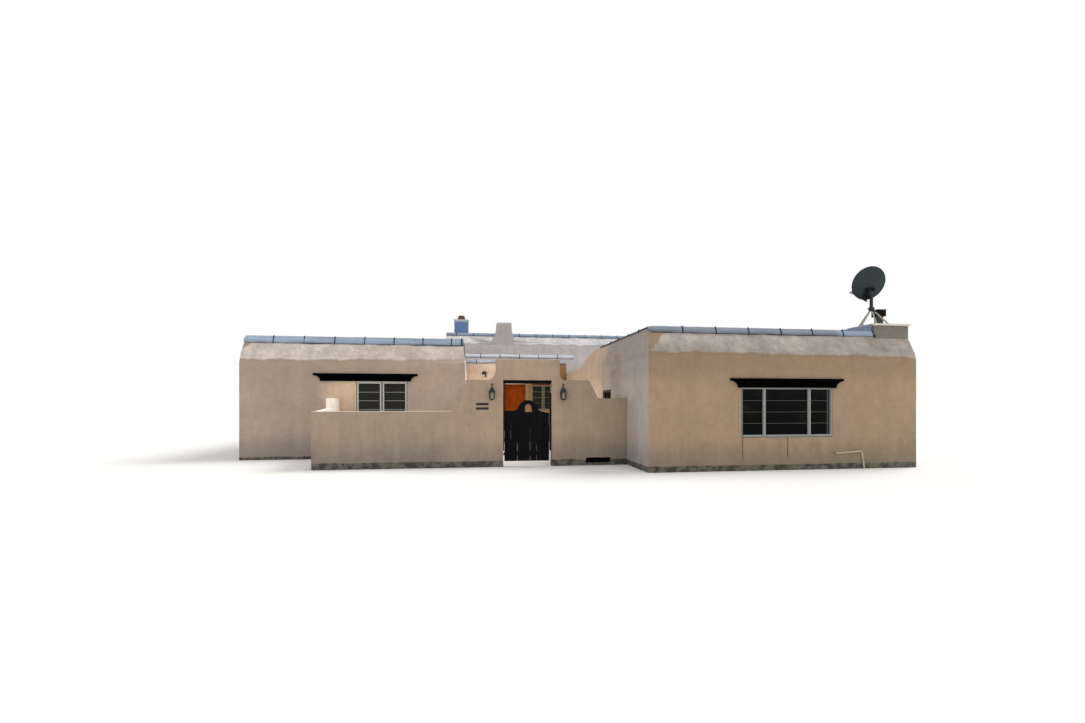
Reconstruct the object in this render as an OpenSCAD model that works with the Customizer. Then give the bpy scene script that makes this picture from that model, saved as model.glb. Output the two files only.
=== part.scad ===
// Adobe house: two wings, a walled courtyard with a gate, and a raised block behind.
// The front faces -Y, +X is to the right of the front, and z = 0 is the lowest ground.

/* [Plan] */
// Width of the left wing
left_w = 6810; // [5500:10:8000]
// Width of the courtyard between the wings
court_w = 4570; // [4300:10:5500]
// Width of the right wing
right_w = 7590; // [7000:10:9000]
// Depth of the house from the right wing's front to the rear
house_d = 19000; // [17500:50:21000]
// How far the left wing's front stands behind the right wing's front
left_back = 4400; // [3800:50:4800]
// How far the courtyard wall stands behind the right wing's front
court_back = 1700; // [1400:50:2000]
// How far the entrance front stands behind the right wing's front
main_back = 10800; // [10200:50:11500]
// Thickness of the house walls
wall_t = 300; // [250:10:400]
// Thickness of the courtyard walls
garden_t = 250; // [200:10:300]

/* [Heights] */
// Top of the stucco on the right wing and the entrance front
right_h = 3700; // [3600:10:4000]
// How much higher the left wing is
left_up = 100; // [60:10:200]
// Height of the sloped shoulder on the left wing
left_slope = 670; // [600:10:750]
// Height of the sloped shoulder on the right wing
right_slope = 690; // [600:10:750]
// Height of the sloped shoulder on the entrance front
main_slope = 400; // [300:10:500]
// How far a front leans back over its shoulder
front_in = 250; // [150:10:280]
// How far an end leans in over its shoulder
end_in = 90; // [40:5:150]
// Level of the floor
floor_z = 500; // [400:10:560]
// Thickness of the floor slab
floor_t = 150; // [100:10:200]
// How far the underside of the flat roofs is below the stucco's top
roof_down = 820; // [780:10:860]
// Thickness of the flat roofs
roof_t = 160; // [120:10:180]

/* [Roofing] */
// Thickness of the roofing that covers the parapets
cap_t = 20; // [10:1:30]
// How far the roofing hangs down the shoulder
cap_drop = 150; // [100:5:200]
// Length of the level stretch of the right wing's courtyard parapet
ramp_start = 4950; // [4500:10:5200]
// Radius of the curve where that parapet runs down
ramp_r = 8500; // [7000:50:9500]
// How far that parapet runs down
ramp_drop = 550; // [450:10:600]

/* [Middle and upper blocks] */
// Left end of the raised blocks, from the courtyard's left side
raised_left = 1160; // [800:10:1400]
// Right end of the middle block, past the courtyard's right side
middle_right = 600; // [500:10:900]
// Right end of the upper block, past the courtyard's right side
upper_right = 4300; // [3000:50:4600]
// How far the middle block stands behind the entrance front
middle_back = 1300; // [1100:50:1600]
// How far the upper block stands behind the entrance front
upper_back = 4200; // [3800:50:4500]
// How much higher the middle block is than the entrance front
middle_up = 360; // [300:10:450]
// How much higher the upper block is than the entrance front
upper_up = 1780; // [1600:10:1900]
// Height of the shoulder on the upper block
upper_slope = 550; // [450:10:650]
// Thickness of the raised blocks' walls
upper_t = 250; // [200:10:300]
// Distance from the upper block to the house's rear face
rear_gap = 600; // [450:10:900]

/* [Courtyard wall] */
// How far the low wall reaches past the courtyard's left side
low_w = 3930; // [3500:10:4300]
// Height of the low wall
low_h = 1530; // [1400:10:1650]
// Left side of the gateway, from the courtyard's left side
gate_x = 1050; // [1000:10:1100]
// Width of the gateway
gateway_w = 1350; // [1250:10:1450]
// Height of the gateway and of the shoulders beside it
gateway_h = 2380; // [2250:10:2450]
// Height of the head over the gateway
head_up = 560; // [500:10:620]
// How far the head reaches past the gateway's left side
head_left = 190; // [150:5:220]
// How far the head reaches past the gateway's right side
head_right = 220; // [160:5:240]
// Width of the curve from the left shoulder up to the head
curve_left = 230; // [180:5:260]
// Height of the curve from the left shoulder up to the head
rise_left = 340; // [250:10:400]
// Width of the curve from the right shoulder up to the head
curve_right = 160; // [120:5:200]
// Height of the curve from the right shoulder up to the head
rise_right = 180; // [140:5:240]
// Length of the left shoulder
shoulder_l = 600; // [560:10:640]
// Length of the right shoulder
shoulder_r = 660; // [600:10:700]
// Width of the curved ramp on the left
ramp_w = 340; // [300:10:380]
// Width of the slope on the right
slope_w = 300; // [260:10:340]
// Height of the right low stretch
right_low_h = 1880; // [1750:10:1950]
// Width of the slope's rounded ends
slope_round = 45; // [30:5:60]
// Height of the slope's rounded ends
slope_drop = 35; // [20:5:50]
// Thickness of the return wall
return_t = 200; // [180:5:250]
// How far the return wall's rear end stands left of its front end
return_skew = 160; // [0:5:180]
// Height that the return wall gains before its raised part
return_rise = 60; // [0:5:80]
// Height of the raised rear part of the return wall
return_h = 1890; // [1750:10:1950]
// Length of the raised rear part of the return wall
return_raised = 1000; // [800:10:1400]
// Length of the drain slot at the foot of the wall
slot_w = 720; // [600:10:800]
// Height of the drain slot
slot_h = 150; // [100:5:180]
// Height of the drain slot over the ground
slot_z = 70; // [50:5:100]
// Distance from the drain slot to the right wing
slot_in = 480; // [400:10:550]

/* [Gate] */
// Width of a black gate post
post_w = 32; // [25:1:40]
// Depth of a black gate post
post_d = 140; // [100:5:160]
// Height of the gate posts' top
post_h = 2030; // [1950:10:2150]
// Height of the gate posts' foot
post_foot = 420; // [350:10:450]
// Distance from the ends of the hinge plates to the pins
hinge_plate = 90; // [70:5:110]
// Length of the gate's hinge straps
strap_l = 500; // [400:10:600]
// Thickness of the gate's hinge straps
strap_t = 6; // [4:1:8]
// Thickness of the plates under the hinge knuckles
hinge_foot = 20; // [15:1:25]
// Height of the lower hinge over the gate's foot
hinge_low = 180; // [150:5:220]
// Distance from the upper hinge to the top of the gate's sides
hinge_high = 290; // [250:5:330]
// Height of the beam in the gateway's head
beam_h = 90; // [60:5:120]
// Thickness of the gate
leaf_t = 45; // [35:1:55]
// Gap between the gate and each post
leaf_gap = 14; // [12:1:20]
// Gap under the gate
leaf_up = 130; // [100:5:160]
// Height of the gate's sides
leaf_side_h = 1470; // [1400:10:1500]
// Height of the gate's arch over its sides
arch_h = 360; // [320:10:380]
// Radius of the gate's arch
arch_r = 290; // [270:5:310]
// Radius of the small curves at the arch's feet
arch_foot_r = 150; // [120:5:170]
// How far the arch stands right of the gate's middle
arch_shift = 30; // [0:5:50]
// Width of the round-headed hole in the gate
hole_w = 235; // [200:5:260]
// Height of the middle of the hole's round head over its foot
hole_side = 130; // [100:5:140]
// Width and height of the small curves at the hole's foot
hole_flare = 45; // [30:5:60]
// Radius of a gate hinge pin
pin_r = 8; // [6:0.5:10]
// Radius of a gate hinge knuckle
knuckle_r = 14; // [12:0.5:16]
// Height of a gate hinge knuckle
knuckle_h = 60; // [50:1:80]
// Running clearance round a hinge pin
pin_gap = 0.05; // [0.03:0.01:0.08]

/* [Front door] */
// Left side of the doorway, from the courtyard's left side
door_x = 1690; // [1600:10:1720]
// Width of the doorway
doorway_w = 1000; // [960:5:1020]
// Height of the doorway over the floor
doorway_h = 2110; // [2080:5:2150]
// Width of the door frame's posts
jamb_w = 45; // [40:1:50]
// Depth of the door frame
jamb_d = 120; // [100:5:150]
// Thickness of the front door
door_t = 45; // [40:1:50]
// Gap round the front door
door_gap = 6; // [5.5:0.5:8]
// Radius of a door hinge pin
door_pin_r = 6; // [5:0.5:7]
// Radius of a door hinge knuckle
door_knuckle_r = 11; // [9:0.5:12]
// Height of a door hinge knuckle
door_knuckle_h = 80; // [70:1:100]
// Width of a door hinge's leaf
door_hinge_w = 40; // [30:1:50]
// Thickness of a door hinge's leaf
door_hinge_t = 4; // [3:0.5:5]
// Height of the lower door hinge over the floor
door_hinge_low = 250; // [200:10:300]
// Distance from the upper door hinge to the doorway's head
door_hinge_high = 380; // [330:10:430]

/* [Windows] */
// Distance from a wall's face to its window frame
reveal = 70; // [50:5:100]
// Depth of a window frame
frame_d = 60; // [45:1:75]
// Width of a window frame's outer bars
frame_w = 35; // [30:1:50]
// Width of the bars between the lights of a wide window
mullion_w = 70; // [50:1:90]
// Width of the bar between a pair of lights
pair_w = 110; // [90:5:130]
// Width of the groove in that bar
pair_groove = 35; // [25:1:50]
// Depth of the groove in that bar
groove_d = 30; // [20:1:40]
// Thickness of the glass
glass_t = 6; // [4:0.5:8]
// Width of the right wing's front window
right_win_w = 2510; // [2300:10:2700]
// Height of the right wing's front window
right_win_h = 1230; // [1100:10:1300]
// Sill height of the right wing's front window
right_win_z = 890; // [850:10:950]
// Distance from the right wing's left side to that window
right_win_x = 2520; // [2400:10:2600]
// Width of the left wing's front window
left_win_w = 1520; // [1400:10:1600]
// Height of the left wing's front window
left_win_h = 1250; // [1100:10:1300]
// Sill height of the left wing's front window
left_win_z = 1160; // [1100:10:1250]
// Distance from the left wing's left side to that window
left_win_x = 3440; // [3300:10:3500]
// Width of the window beside the front door
hall_win_w = 1100; // [1000:10:1150]
// Height of the window beside the front door
hall_win_h = 1150; // [1000:10:1200]
// Distance from the doorway to that window
hall_win_x = 250; // [230:10:300]
// Width of a courtyard side window
court_win_w = 900; // [700:10:1000]
// Height of a courtyard side window
court_win_h = 1000; // [800:10:1100]
// Distance from the right wing's front to its courtyard window
court_win_y = 3400; // [3200:10:3600]
// Width of a rear or outer side window
plain_win_w = 1520; // [1300:10:1700]
// Height of a rear or outer side window
plain_win_h = 1200; // [1000:10:1250]

/* [Lintels] */
// How far a lintel stands out from its wall
lintel_out = 60; // [40:5:80]
// Height of a lintel
lintel_h = 240; // [200:5:260]
// Length of a lintel past each side of its window, at its foot
lintel_over = 130; // [100:10:160]
// How much longer a lintel is at its top, at each end
lintel_flare = 215; // [150:5:230]
// How much further the left front lintel reaches to the left
lintel_more = 960; // [800:10:1050]
// Height of the hollow curve at a lintel's ends
lintel_curve = 180; // [150:5:200]
// Gap between a window's top and its lintel
lintel_gap = 25; // [20:1:60]

/* [Chimneys and roof fittings] */
// Width of the corner chimney block
block_w = 1060; // [900:10:1150]
// Depth of the corner chimney block
block_d = 900; // [850:10:1000]
// Height of the corner chimney block over the stucco's top
block_up = 190; // [150:10:250]
// Distance from the right wing's right side to that block
block_in = 60; // [50:5:120]
// How far that block stands behind the right wing's front
block_back = 180; // [150:5:230]
// Thickness of the block's top slab
slab_t = 30; // [20:1:40]
// Length of the roofing's rise beside the block
rise_l = 980; // [800:10:1100]
// Radius of the flue
flue_r = 110; // [90:5:120]
// Height of the flue over its slab
flue_h = 300; // [250:10:350]
// Width of the flue's cowl
cowl_w = 250; // [240:5:300]
// Height of the flue's cowl
cowl_h = 180; // [150:5:220]
// Thickness of the cowl's top plate
cowl_t = 20; // [12:1:30]
// How far the top plate reaches past the cowl
cowl_over = 15; // [5:1:20]
// Distance from the block's right side to the flue's middle
flue_right = 345; // [250:5:400]
// Distance from the block's rear to the flue's middle
flue_rear = 265; // [200:5:350]
// Width of the centre chimney's top
stack_w = 790; // [700:10:850]
// How far the centre chimney widens at its right side
stack_flare = 120; // [80:10:160]
// How far the centre chimney sweeps out at its left side, down to the shoulder's foot
stack_sweep = 430; // [350:10:480]
// Depth of the centre chimney
stack_d = 620; // [550:10:700]
// Height of the centre chimney over the upper block
stack_h = 620; // [500:10:700]
// Distance from the raised blocks' left end to the centre chimney
stack_x = 2740; // [2500:10:2900]
// Width of the roof vent box
vent_w = 790; // [700:10:850]
// Height of the roof vent box over the upper roofing
vent_h = 820; // [700:10:900]
// Distance from the raised blocks' left end to the roof vent box
vent_x = 450; // [350:10:600]
// How far the roof vent box stands behind the upper block's front
vent_back = 700; // [600:10:900]
// Width of the hood on the roof vent box
hood_w = 460; // [380:10:520]
// Height of the hood on the roof vent box
hood_h = 250; // [180:10:300]
// Diameter of the satellite dish
dish_w = 930; // [850:10:1000]
// Depth of the dish's bowl
dish_bowl = 100; // [85:5:120]
// Thickness of the dish
dish_t = 14; // [10:1:20]
// Angle of the dish above level
dish_tilt = 22; // [15:1:30]
// Angle that the dish faces to the right of straight back
dish_turn = 7; // [0:1:15]
// Height of the dish's mount over the block's slab
mount_z = 880; // [800:10:950]
// How far the mount sits under the dish's middle
mount_down = 250; // [200:5:300]
// Height of the tripod's hub over the block's slab
hub_h = 440; // [400:10:500]
// Width of the tripod's hub
hub_w = 110; // [90:5:130]
// Height of the tripod's hub
hub_t = 60; // [40:5:80]
// Width of a tripod leg
leg_w = 30; // [24:1:36]
// Reach of the tripod to the left
leg_left = 400; // [350:10:420]
// Reach of the tripod to the right
leg_right = 550; // [500:10:600]
// Reach of the tripod to the front
leg_front = 130; // [110:5:150]
// Reach of the tripod to the rear
leg_rear = 410; // [370:10:450]
// How far a tripod foot stands out of the mast's line
leg_side = 55; // [40:5:70]
// Distance from the block's left side to the dish's mast
mast_x = 120; // [90:5:150]
// Distance from the block's front to the dish's mast
mast_y = 230; // [180:10:260]
// Width of the dish's mast
mast_w = 60; // [50:5:70]
// Length of the mount from the mast to the level of the dish's middle
arm_l = 120; // [110:5:180]

/* [Lights and fittings] */
// Width of a gate lantern
lantern_w = 180; // [140:5:200]
// Height of a gate lantern
lantern_h = 460; // [380:10:500]
// Height of the foot of the gate lanterns
lantern_z = 1830; // [1780:10:1880]
// Distance from the gateway to the middle of a lantern
lantern_off = 310; // [260:10:330]
// Width of the plates beside the gate
plate_w = 340; // [300:10:360]
// Height of a plate beside the gate
plate_h = 60; // [50:1:80]
// Height of the lower plate beside the gate
plate_z = 1570; // [1530:10:1600]
// Thickness of a plate beside the gate
plate_t = 15; // [10:1:20]
// Width of a lantern's body
lantern_body_w = 120; // [100:5:140]
// Height of a lantern's body
lantern_body_h = 250; // [220:5:280]
// Height of the ring over a lantern's body
lantern_ring_h = 70; // [50:5:90]
// Width of a lantern's tip
lantern_tip_w = 60; // [40:5:80]
// Distance from the wall to a lantern's body
lantern_arm = 25; // [20:1:35]
// Distance from the door light to the doorway
light_x = 810; // [700:10:900]
// Width of the door light
light_w = 230; // [200:5:260]
// Height of the door light
light_h = 260; // [220:5:300]
// Depth of the door light
light_d = 150; // [120:5:180]
// Height of the door light over the floor
light_z = 2430; // [2350:10:2500]
// Radius of the drain pipe
pipe_r = 22; // [18:1:25]
// Height of the drain pipe's level stretch
pipe_z = 470; // [430:10:500]
// Length of the drain pipe's level stretch
pipe_l = 760; // [650:10:850]

/* [Hidden] */
$fn = 48;
eps = 1;
seat = 0.3;
total_w = left_w + court_w + right_w;
x_left = -total_w / 2;
x_court = x_left + left_w;
x_right = x_court + court_w;
x_end = x_right + right_w;
y_front = -house_d / 2;
y_rear = house_d / 2;
y_left = y_front + left_back;
y_court = y_front + court_back;
y_main = y_front + main_back;
y_middle = y_main + middle_back;
y_upper = y_main + upper_back;
x_raised = x_court - raised_left;
x_gate = x_court + gate_x;
x_gate_end = x_gate + gateway_w;
left_h = right_h + left_up;
main_h = right_h;
left_foot = left_h - left_slope;
right_foot = right_h - right_slope;
main_foot = main_h - main_slope;
middle_h = main_h + middle_up;
upper_h = main_h + upper_up;
upper_foot = upper_h - upper_slope;
head_h = gateway_h + head_up;
roof_z = right_h - roof_down;
roof_top = roof_z + roof_t;
middle_top = middle_h + cap_t;
x_middle_end = x_right + middle_right;
x_upper_end = x_right + upper_right;
y_upper_end = y_rear - rear_gap;
side_win_y = (y_left + y_rear) / 2;
plain_win_z = left_win_z;
rear_win_z = plain_win_z;
leaf_x = x_gate + post_w + leaf_gap;
leaf_w = gateway_w - 2 * post_w - 2 * leaf_gap;
y_gate_back = y_court + garden_t;
pin_x = leaf_x - leaf_gap / 2;
pin_y = y_gate_back + knuckle_r;
x_door = x_court + door_x;
door_leaf_w = doorway_w - 2 * jamb_w - 2 * door_gap;
door_leaf_h = doorway_h - jamb_w - 2 * door_gap;
door_leaf_x = x_door + jamb_w + door_gap;
y_door_back = y_main + wall_t;
door_pin_x = door_leaf_x - door_gap / 2;
door_pin_y = y_door_back + door_knuckle_r;
block_x = x_end - block_in - block_w;
block_y = y_front + block_back;
block_h = right_h + block_up;
block_top = block_h + slab_t;
mast_at = [block_x + mast_x, block_y + mast_y];
ball_r = (dish_w * dish_w / 4 + dish_bowl * dish_bowl) / (2 * dish_bowl);
x_stack = x_raised + stack_x;
x_vent = x_raised + vent_x;
y_vent = y_upper + vent_back;
upper_top = upper_h + cap_t;
x_head = x_gate - head_left;
x_shoulder_l = x_head - curve_left - shoulder_l;
x_ramp = x_shoulder_l - ramp_w;
x_head_end = x_gate_end + head_right;
x_shoulder_r = x_head_end + curve_right + shoulder_r;
hinge_heights = [leaf_up + hinge_low, leaf_side_h - hinge_high];
door_hinges = [floor_z + door_hinge_low, floor_z + doorway_h / 2,
    floor_z + doorway_h - door_hinge_high];
big = 30000;

// Each window: turn of its wall, middle of its foot on the wall's face, width, height, and the
// shares that its lights take of its width
WINDOWS = [
    [0, x_right + right_win_x + right_win_w / 2, y_front, right_win_z, right_win_w, right_win_h,
        [1, 2, 1]],
    [0, x_left + left_win_x + left_win_w / 2, y_left, left_win_z, left_win_w, left_win_h,
        [1, 1]],
    [0, x_door + doorway_w + hall_win_x + hall_win_w / 2, y_main,
        floor_z + doorway_h - jamb_w - hall_win_h, hall_win_w, hall_win_h, [1, 1]],
    [-90, x_right, y_front + court_win_y + court_win_w / 2, left_win_z, court_win_w,
        court_win_h, [1]],
    [-90, x_left, side_win_y, plain_win_z, plain_win_w, plain_win_h, [1, 1]],
    [90, x_end, y_front + left_back, plain_win_z, plain_win_w, plain_win_h, [1, 1]],
    [90, x_end, side_win_y + left_back / 2, plain_win_z, plain_win_w, plain_win_h, [1, 1]],
    [180, (x_left + x_court) / 2, y_rear, rear_win_z, plain_win_w, plain_win_h, [1, 1]],
    [180, (x_court + x_right) / 2, y_rear, rear_win_z, plain_win_w, plain_win_h, [1, 1]],
    [180, (x_right + x_end) / 2, y_rear, rear_win_z, plain_win_w, plain_win_h, [1, 1]]
];
// The windows that have a lintel over them
WITH_LINTEL = [0, 1, 4, 5, 6, 7, 8, 9];
// The left front window, whose lintel is longer
LONG_LINTEL = 1;

// A point list for an arc from angle a to angle b
function arc(cx, cz, r, a, b, n = 12) =
    [for (i = [0 : n]) [cx + r * cos(a + (b - a) * i / n), cz + r * sin(a + (b - a) * i / n)]];

// Points of a hollow curve from a level start to an upright end, leaving out its first steps
function hollow(xa, za, xb, zb, skip = 0, n = 8) =
    let (s0 = sin(skip), c0 = cos(skip))
    [for (i = [0 : n]) let (t = skip + (90 - skip) * i / n)
        [xa + (xb - xa) * (sin(t) - s0) / (1 - s0), za + (zb - za) * (c0 - cos(t)) / c0]];

// The same points from last to first
function turned(points) = [for (i = [len(points) - 1 : -1 : 0]) points[i]];

// A box given by its two corners
module block(xa, xb, ya, yb, za, zb) {
    translate([xa, ya, za]) cube([xb - xa, yb - ya, zb - za]);
}

// An outline in X and Z, given a depth along Y
module upright(points, ya, yb) {
    translate([0, yb, 0]) rotate([90, 0, 0]) linear_extrude(yb - ya) polygon(points);
}

// An outline in Y and Z, given a width along X
module sideways(points, xa, xb) {
    translate([xa, 0, 0]) rotate([90, 0, 90]) linear_extrude(xb - xa) polygon(points);
}

// A block whose four sides lean in above the foot of its shoulders
module shouldered(xa, xb, ya, yb, foot, top, in_l, in_r, in_f, in_b) {
    intersection() {
        upright([[xa, 0], [xb, 0], [xb, foot], [xb - in_r, top], [xa + in_l, top], [xa, foot]],
            ya, yb);
        sideways([[ya, 0], [yb, 0], [yb, foot], [yb - in_b, top], [ya + in_f, top], [ya, foot]],
            xa, xb);
    }
}

module left_mass(grow = 0) {
    shouldered(x_left - grow, x_court + grow, y_left - grow, y_rear + grow, left_foot,
        left_h + grow, end_in, end_in, front_in, end_in);
}

module right_mass(grow = 0) {
    shouldered(x_right - grow, x_end + grow, y_front - grow, y_rear + grow, right_foot,
        right_h + grow, end_in, end_in, front_in, end_in);
}

module main_mass(grow = 0) {
    shouldered(x_court - wall_t, x_right + wall_t, y_main - grow, y_rear + grow, main_foot,
        main_h + grow, 0, 0, end_in, end_in);
}

// Puts a piece on a wall: local X runs along the wall and local Y into it
module on_wall(w) {
    translate([w[1], w[2], w[3]]) rotate([0, 0, w[0]]) children();
}

module window_holes(which) {
    for (i = which) on_wall(WINDOWS[i])
        block(-WINDOWS[i][4] / 2, WINDOWS[i][4] / 2, -wall_t, 2 * wall_t, 0, WINDOWS[i][5]);
}

module stucco() {
    color([0.72, 0.62, 0.5]) children();
}

module roofing() {
    color([0.5, 0.53, 0.57]) children();
}

module left_front_wall() {
    stucco() difference() {
        intersection() {
            left_mass();
            block(x_left, x_court, y_left, y_left + wall_t, 0, left_h);
        }
        window_holes([1]);
    }
}

module left_side_wall() {
    stucco() difference() {
        intersection() {
            left_mass();
            block(x_left, x_left + wall_t, y_left + wall_t, y_rear - wall_t, 0, left_h);
        }
        window_holes([4]);
    }
}

module left_court_wall() {
    stucco() intersection() {
        left_mass();
        block(x_court - wall_t, x_court, y_left + wall_t, y_main + wall_t, 0, left_h);
    }
}

module left_rear_wall() {
    stucco() difference() {
        intersection() {
            left_mass();
            block(x_left, x_court - wall_t, y_rear - wall_t, y_rear, 0, left_h);
        }
        window_holes([7]);
    }
}

module left_roof() {
    roofing() block(x_left + wall_t, x_court - wall_t, y_left + wall_t, y_rear - wall_t,
        roof_z, roof_top);
}

// Roofing draped over a parapet: the grown mass less the mass, kept where the walls are
module left_cap() {
    roofing() difference() {
        intersection() {
            left_mass(cap_t);
            block(-big, big, -big, big, left_h - cap_drop, left_h + cap_t);
        }
        left_mass();
        block(x_left + wall_t, x_court - wall_t, y_left + wall_t, y_rear - wall_t, 0, big);
        block(x_court - wall_t, x_court + wall_t, y_main, y_rear + wall_t, 0, big);
    }
}

module right_front_wall() {
    stucco() difference() {
        intersection() {
            right_mass();
            block(x_right, x_end, y_front, y_front + wall_t, 0, right_h);
        }
        window_holes([0]);
        chimney_space();
    }
}

module right_side_wall() {
    stucco() difference() {
        intersection() {
            right_mass();
            block(x_end - wall_t, x_end, y_front + wall_t, y_rear - wall_t, 0, right_h);
        }
        window_holes([5, 6]);
        chimney_space();
    }
}

// The courtyard side of the right wing, with its parapet running down towards the rear
module right_court_wall() {
    ramp_reach = acos((ramp_r - ramp_drop) / ramp_r);
    y_ramp = y_front + ramp_start;
    y_end = y_main + wall_t;
    stucco() difference() {
        intersection() {
            right_mass();
            sideways(concat([[y_end, 0], [y_end, right_h - ramp_drop]],
                arc(y_ramp, right_h - ramp_r, ramp_r, 90 - ramp_reach, 90),
                [[y_front + wall_t, right_h], [y_front + wall_t, 0]]), x_right, x_right + wall_t);
        }
        window_holes([3]);
    }
}

module right_rear_wall() {
    stucco() difference() {
        intersection() {
            right_mass();
            block(x_right + wall_t, x_end, y_rear - wall_t, y_rear, 0, right_h);
        }
        window_holes([9]);
    }
}

module right_roof() {
    roofing() difference() {
        block(x_right + wall_t, x_end - wall_t, y_front + wall_t, y_rear - wall_t,
            roof_z, roof_top);
        chimney_space();
    }
}

// The roofing's rise on the parapet beside the corner chimney
module cap_rise() {
    ya = y_front + front_in - cap_t;
    upright([[block_x - rise_l, right_h], [block_x, right_h], [block_x, block_top]],
        ya, y_front + wall_t);
}

module right_cap() {
    roofing() difference() {
        union() {
            intersection() {
                right_mass(cap_t);
                block(-big, big, -big, big, right_h - cap_drop, right_h + cap_t);
            }
            cap_rise();
        }
        right_mass();
        block(x_right + wall_t, x_end - wall_t, y_front + wall_t, y_rear - wall_t, 0, big);
        block(x_right - wall_t, x_right + wall_t, y_front + ramp_start, y_rear + wall_t, 0, big);
        block(block_x, big, -big, block_y + block_d, 0, big);
        chimney_slab();
    }
}

module main_front_piece(xa, xb, za, zb) {
    intersection() {
        main_mass();
        block(xa, xb, y_main, y_main + wall_t, za, zb);
    }
}

module main_front_left() {
    stucco() main_front_piece(x_court, x_door, 0, main_h);
}

module main_front_right() {
    stucco() difference() {
        main_front_piece(x_door + doorway_w, x_right, 0, main_h);
        window_holes([2]);
    }
}

// The wall over the doorway, and the low threshold under it
module main_front_head() {
    stucco() {
        main_front_piece(x_door, x_door + doorway_w, floor_z + doorway_h, main_h);
        main_front_piece(x_door, x_door + doorway_w, 0, floor_z);
    }
}

module main_rear_wall() {
    stucco() difference() {
        intersection() {
            main_mass();
            block(x_court - wall_t, x_right + wall_t, y_rear - wall_t, y_rear, 0, main_h);
        }
        window_holes([8]);
    }
}

module main_roof() {
    roofing() block(x_court - wall_t, x_right + wall_t, y_main + wall_t, y_rear - wall_t,
        roof_z, roof_top);
}

module main_cap() {
    roofing() difference() {
        intersection() {
            main_mass(cap_t);
            block(-big, big, -big, big, main_h - cap_drop, main_h + cap_t);
        }
        main_mass();
        block(-big, big, y_main + wall_t, y_rear - wall_t, 0, big);
        block(-big, x_court + eps, -big, y_rear - wall_t, 0, big);
        block(x_right - eps, big, -big, y_rear - wall_t, 0, big);
    }
}

// Three low walls that raise the roof behind the entrance front
module middle_walls() {
    stucco() difference() {
        block(x_raised, x_middle_end, y_middle, y_upper, roof_top, middle_h);
        block(x_raised + upper_t, x_middle_end - upper_t, y_middle + upper_t, big, 0, big);
    }
}

module middle_roof() {
    roofing() difference() {
        block(x_raised - cap_t, x_middle_end + cap_t, y_middle - cap_t, y_upper,
            middle_h - cap_drop, middle_top);
        block(x_raised, x_middle_end, y_middle, y_upper, 0, middle_h);
    }
}

module upper_mass(grow = 0) {
    shouldered(x_raised - grow, x_upper_end + grow, y_upper - grow, y_upper_end + grow,
        upper_foot, upper_h + grow, end_in, end_in, end_in, end_in);
}

module upper_walls() {
    stucco() difference() {
        intersection() {
            upper_mass();
            block(-big, big, -big, big, roof_top, upper_h);
        }
        block(x_raised + upper_t, x_upper_end - upper_t, y_upper + upper_t,
            y_upper_end - upper_t, 0, big);
        stack_space();
    }
}

module upper_roof() {
    roofing() difference() {
        intersection() {
            upper_mass(cap_t);
            block(-big, big, -big, big, upper_h - cap_drop, upper_top);
        }
        upper_mass();
        stack_space();
    }
}

// The centre chimney's outline, which widens in hollow curves towards its foot
module stack_shape(ya, yb) {
    xb = x_stack + stack_w;
    mid = upper_h - cap_drop;
    top = upper_h + stack_h;
    left = hollow(x_stack - stack_sweep, upper_foot, x_stack, top, 25);
    right = hollow(xb + stack_flare, mid, xb, top, 0, 6);
    upright(concat([[xb + stack_flare, upper_foot]], left, turned(right)), ya, yb);
}

// The space that the centre chimney takes from the upper walls and roof
module stack_space() {
    stack_shape(y_upper - cap_t - eps, y_upper + stack_d);
}

module centre_chimney() {
    stucco() stack_shape(y_upper, y_upper + stack_d);
}

module roof_vent() {
    inset = (vent_w - hood_w) / 2;
    color([0.45, 0.5, 0.56]) {
        block(x_vent, x_vent + vent_w, y_vent, y_vent + vent_w, upper_top, upper_top + vent_h);
        block(x_vent + inset, x_vent + inset + hood_w, y_vent + inset, y_vent + inset + hood_w,
            upper_top + vent_h, upper_top + vent_h + hood_h);
    }
}

// The space that the corner chimney takes from the walls and the roof
module chimney_space() {
    block(block_x, block_x + block_w, block_y, block_y + block_d, roof_z, big);
}

module chimney_slab() {
    block(block_x - slab_t, block_x + block_w + slab_t, block_y - slab_t,
        block_y + block_d + slab_t, block_h, block_top);
}

module chimney_block() {
    stucco() block(block_x, block_x + block_w, block_y, block_y + block_d, roof_z, block_h);
    color([0.78, 0.76, 0.66]) chimney_slab();
}

module flue() {
    color([0.3, 0.2, 0.15])
    translate([block_x + block_w - flue_right, block_y + block_d - flue_rear, block_top]) {
        cylinder(r = flue_r, h = flue_h);
        block(-cowl_w / 2, cowl_w / 2, -cowl_w / 2, cowl_w / 2, flue_h, flue_h + cowl_h);
        block(-cowl_w / 2 - cowl_over, cowl_w / 2 + cowl_over, -cowl_w / 2 - cowl_over,
            cowl_w / 2 + cowl_over, flue_h + cowl_h, flue_h + cowl_h + cowl_t);
    }
}

// Places things in the frame of the dish's mount, which opens along local +Y
module mount_place() {
    translate([mast_at[0], mast_at[1], block_top + mount_z])
        rotate([0, 0, -dish_turn]) rotate([dish_tilt, 0, 0]) children();
}

// A shallow spherical bowl that opens along local +Y
module dish() {
    color([0.25, 0.26, 0.25]) mount_place() translate([0, arm_l, mount_down])
        rotate([-90, 0, 0]) rotate_extrude($fn = 64) intersection() {
            difference() {
                translate([0, ball_r + dish_t]) circle(r = ball_r + dish_t, $fn = 180);
                translate([0, ball_r + dish_t]) circle(r = ball_r, $fn = 180);
            }
            square([dish_w / 2, dish_bowl + dish_t]);
        }
}

// A square bar from one point to another
module bar(p, q, w) {
    d = q - p;
    len = norm(d);
    translate(p) rotate([0, acos(d[2] / len), atan2(d[1], d[0])])
        translate([-w / 2, -w / 2, 0]) cube([w, w, len]);
}

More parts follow.
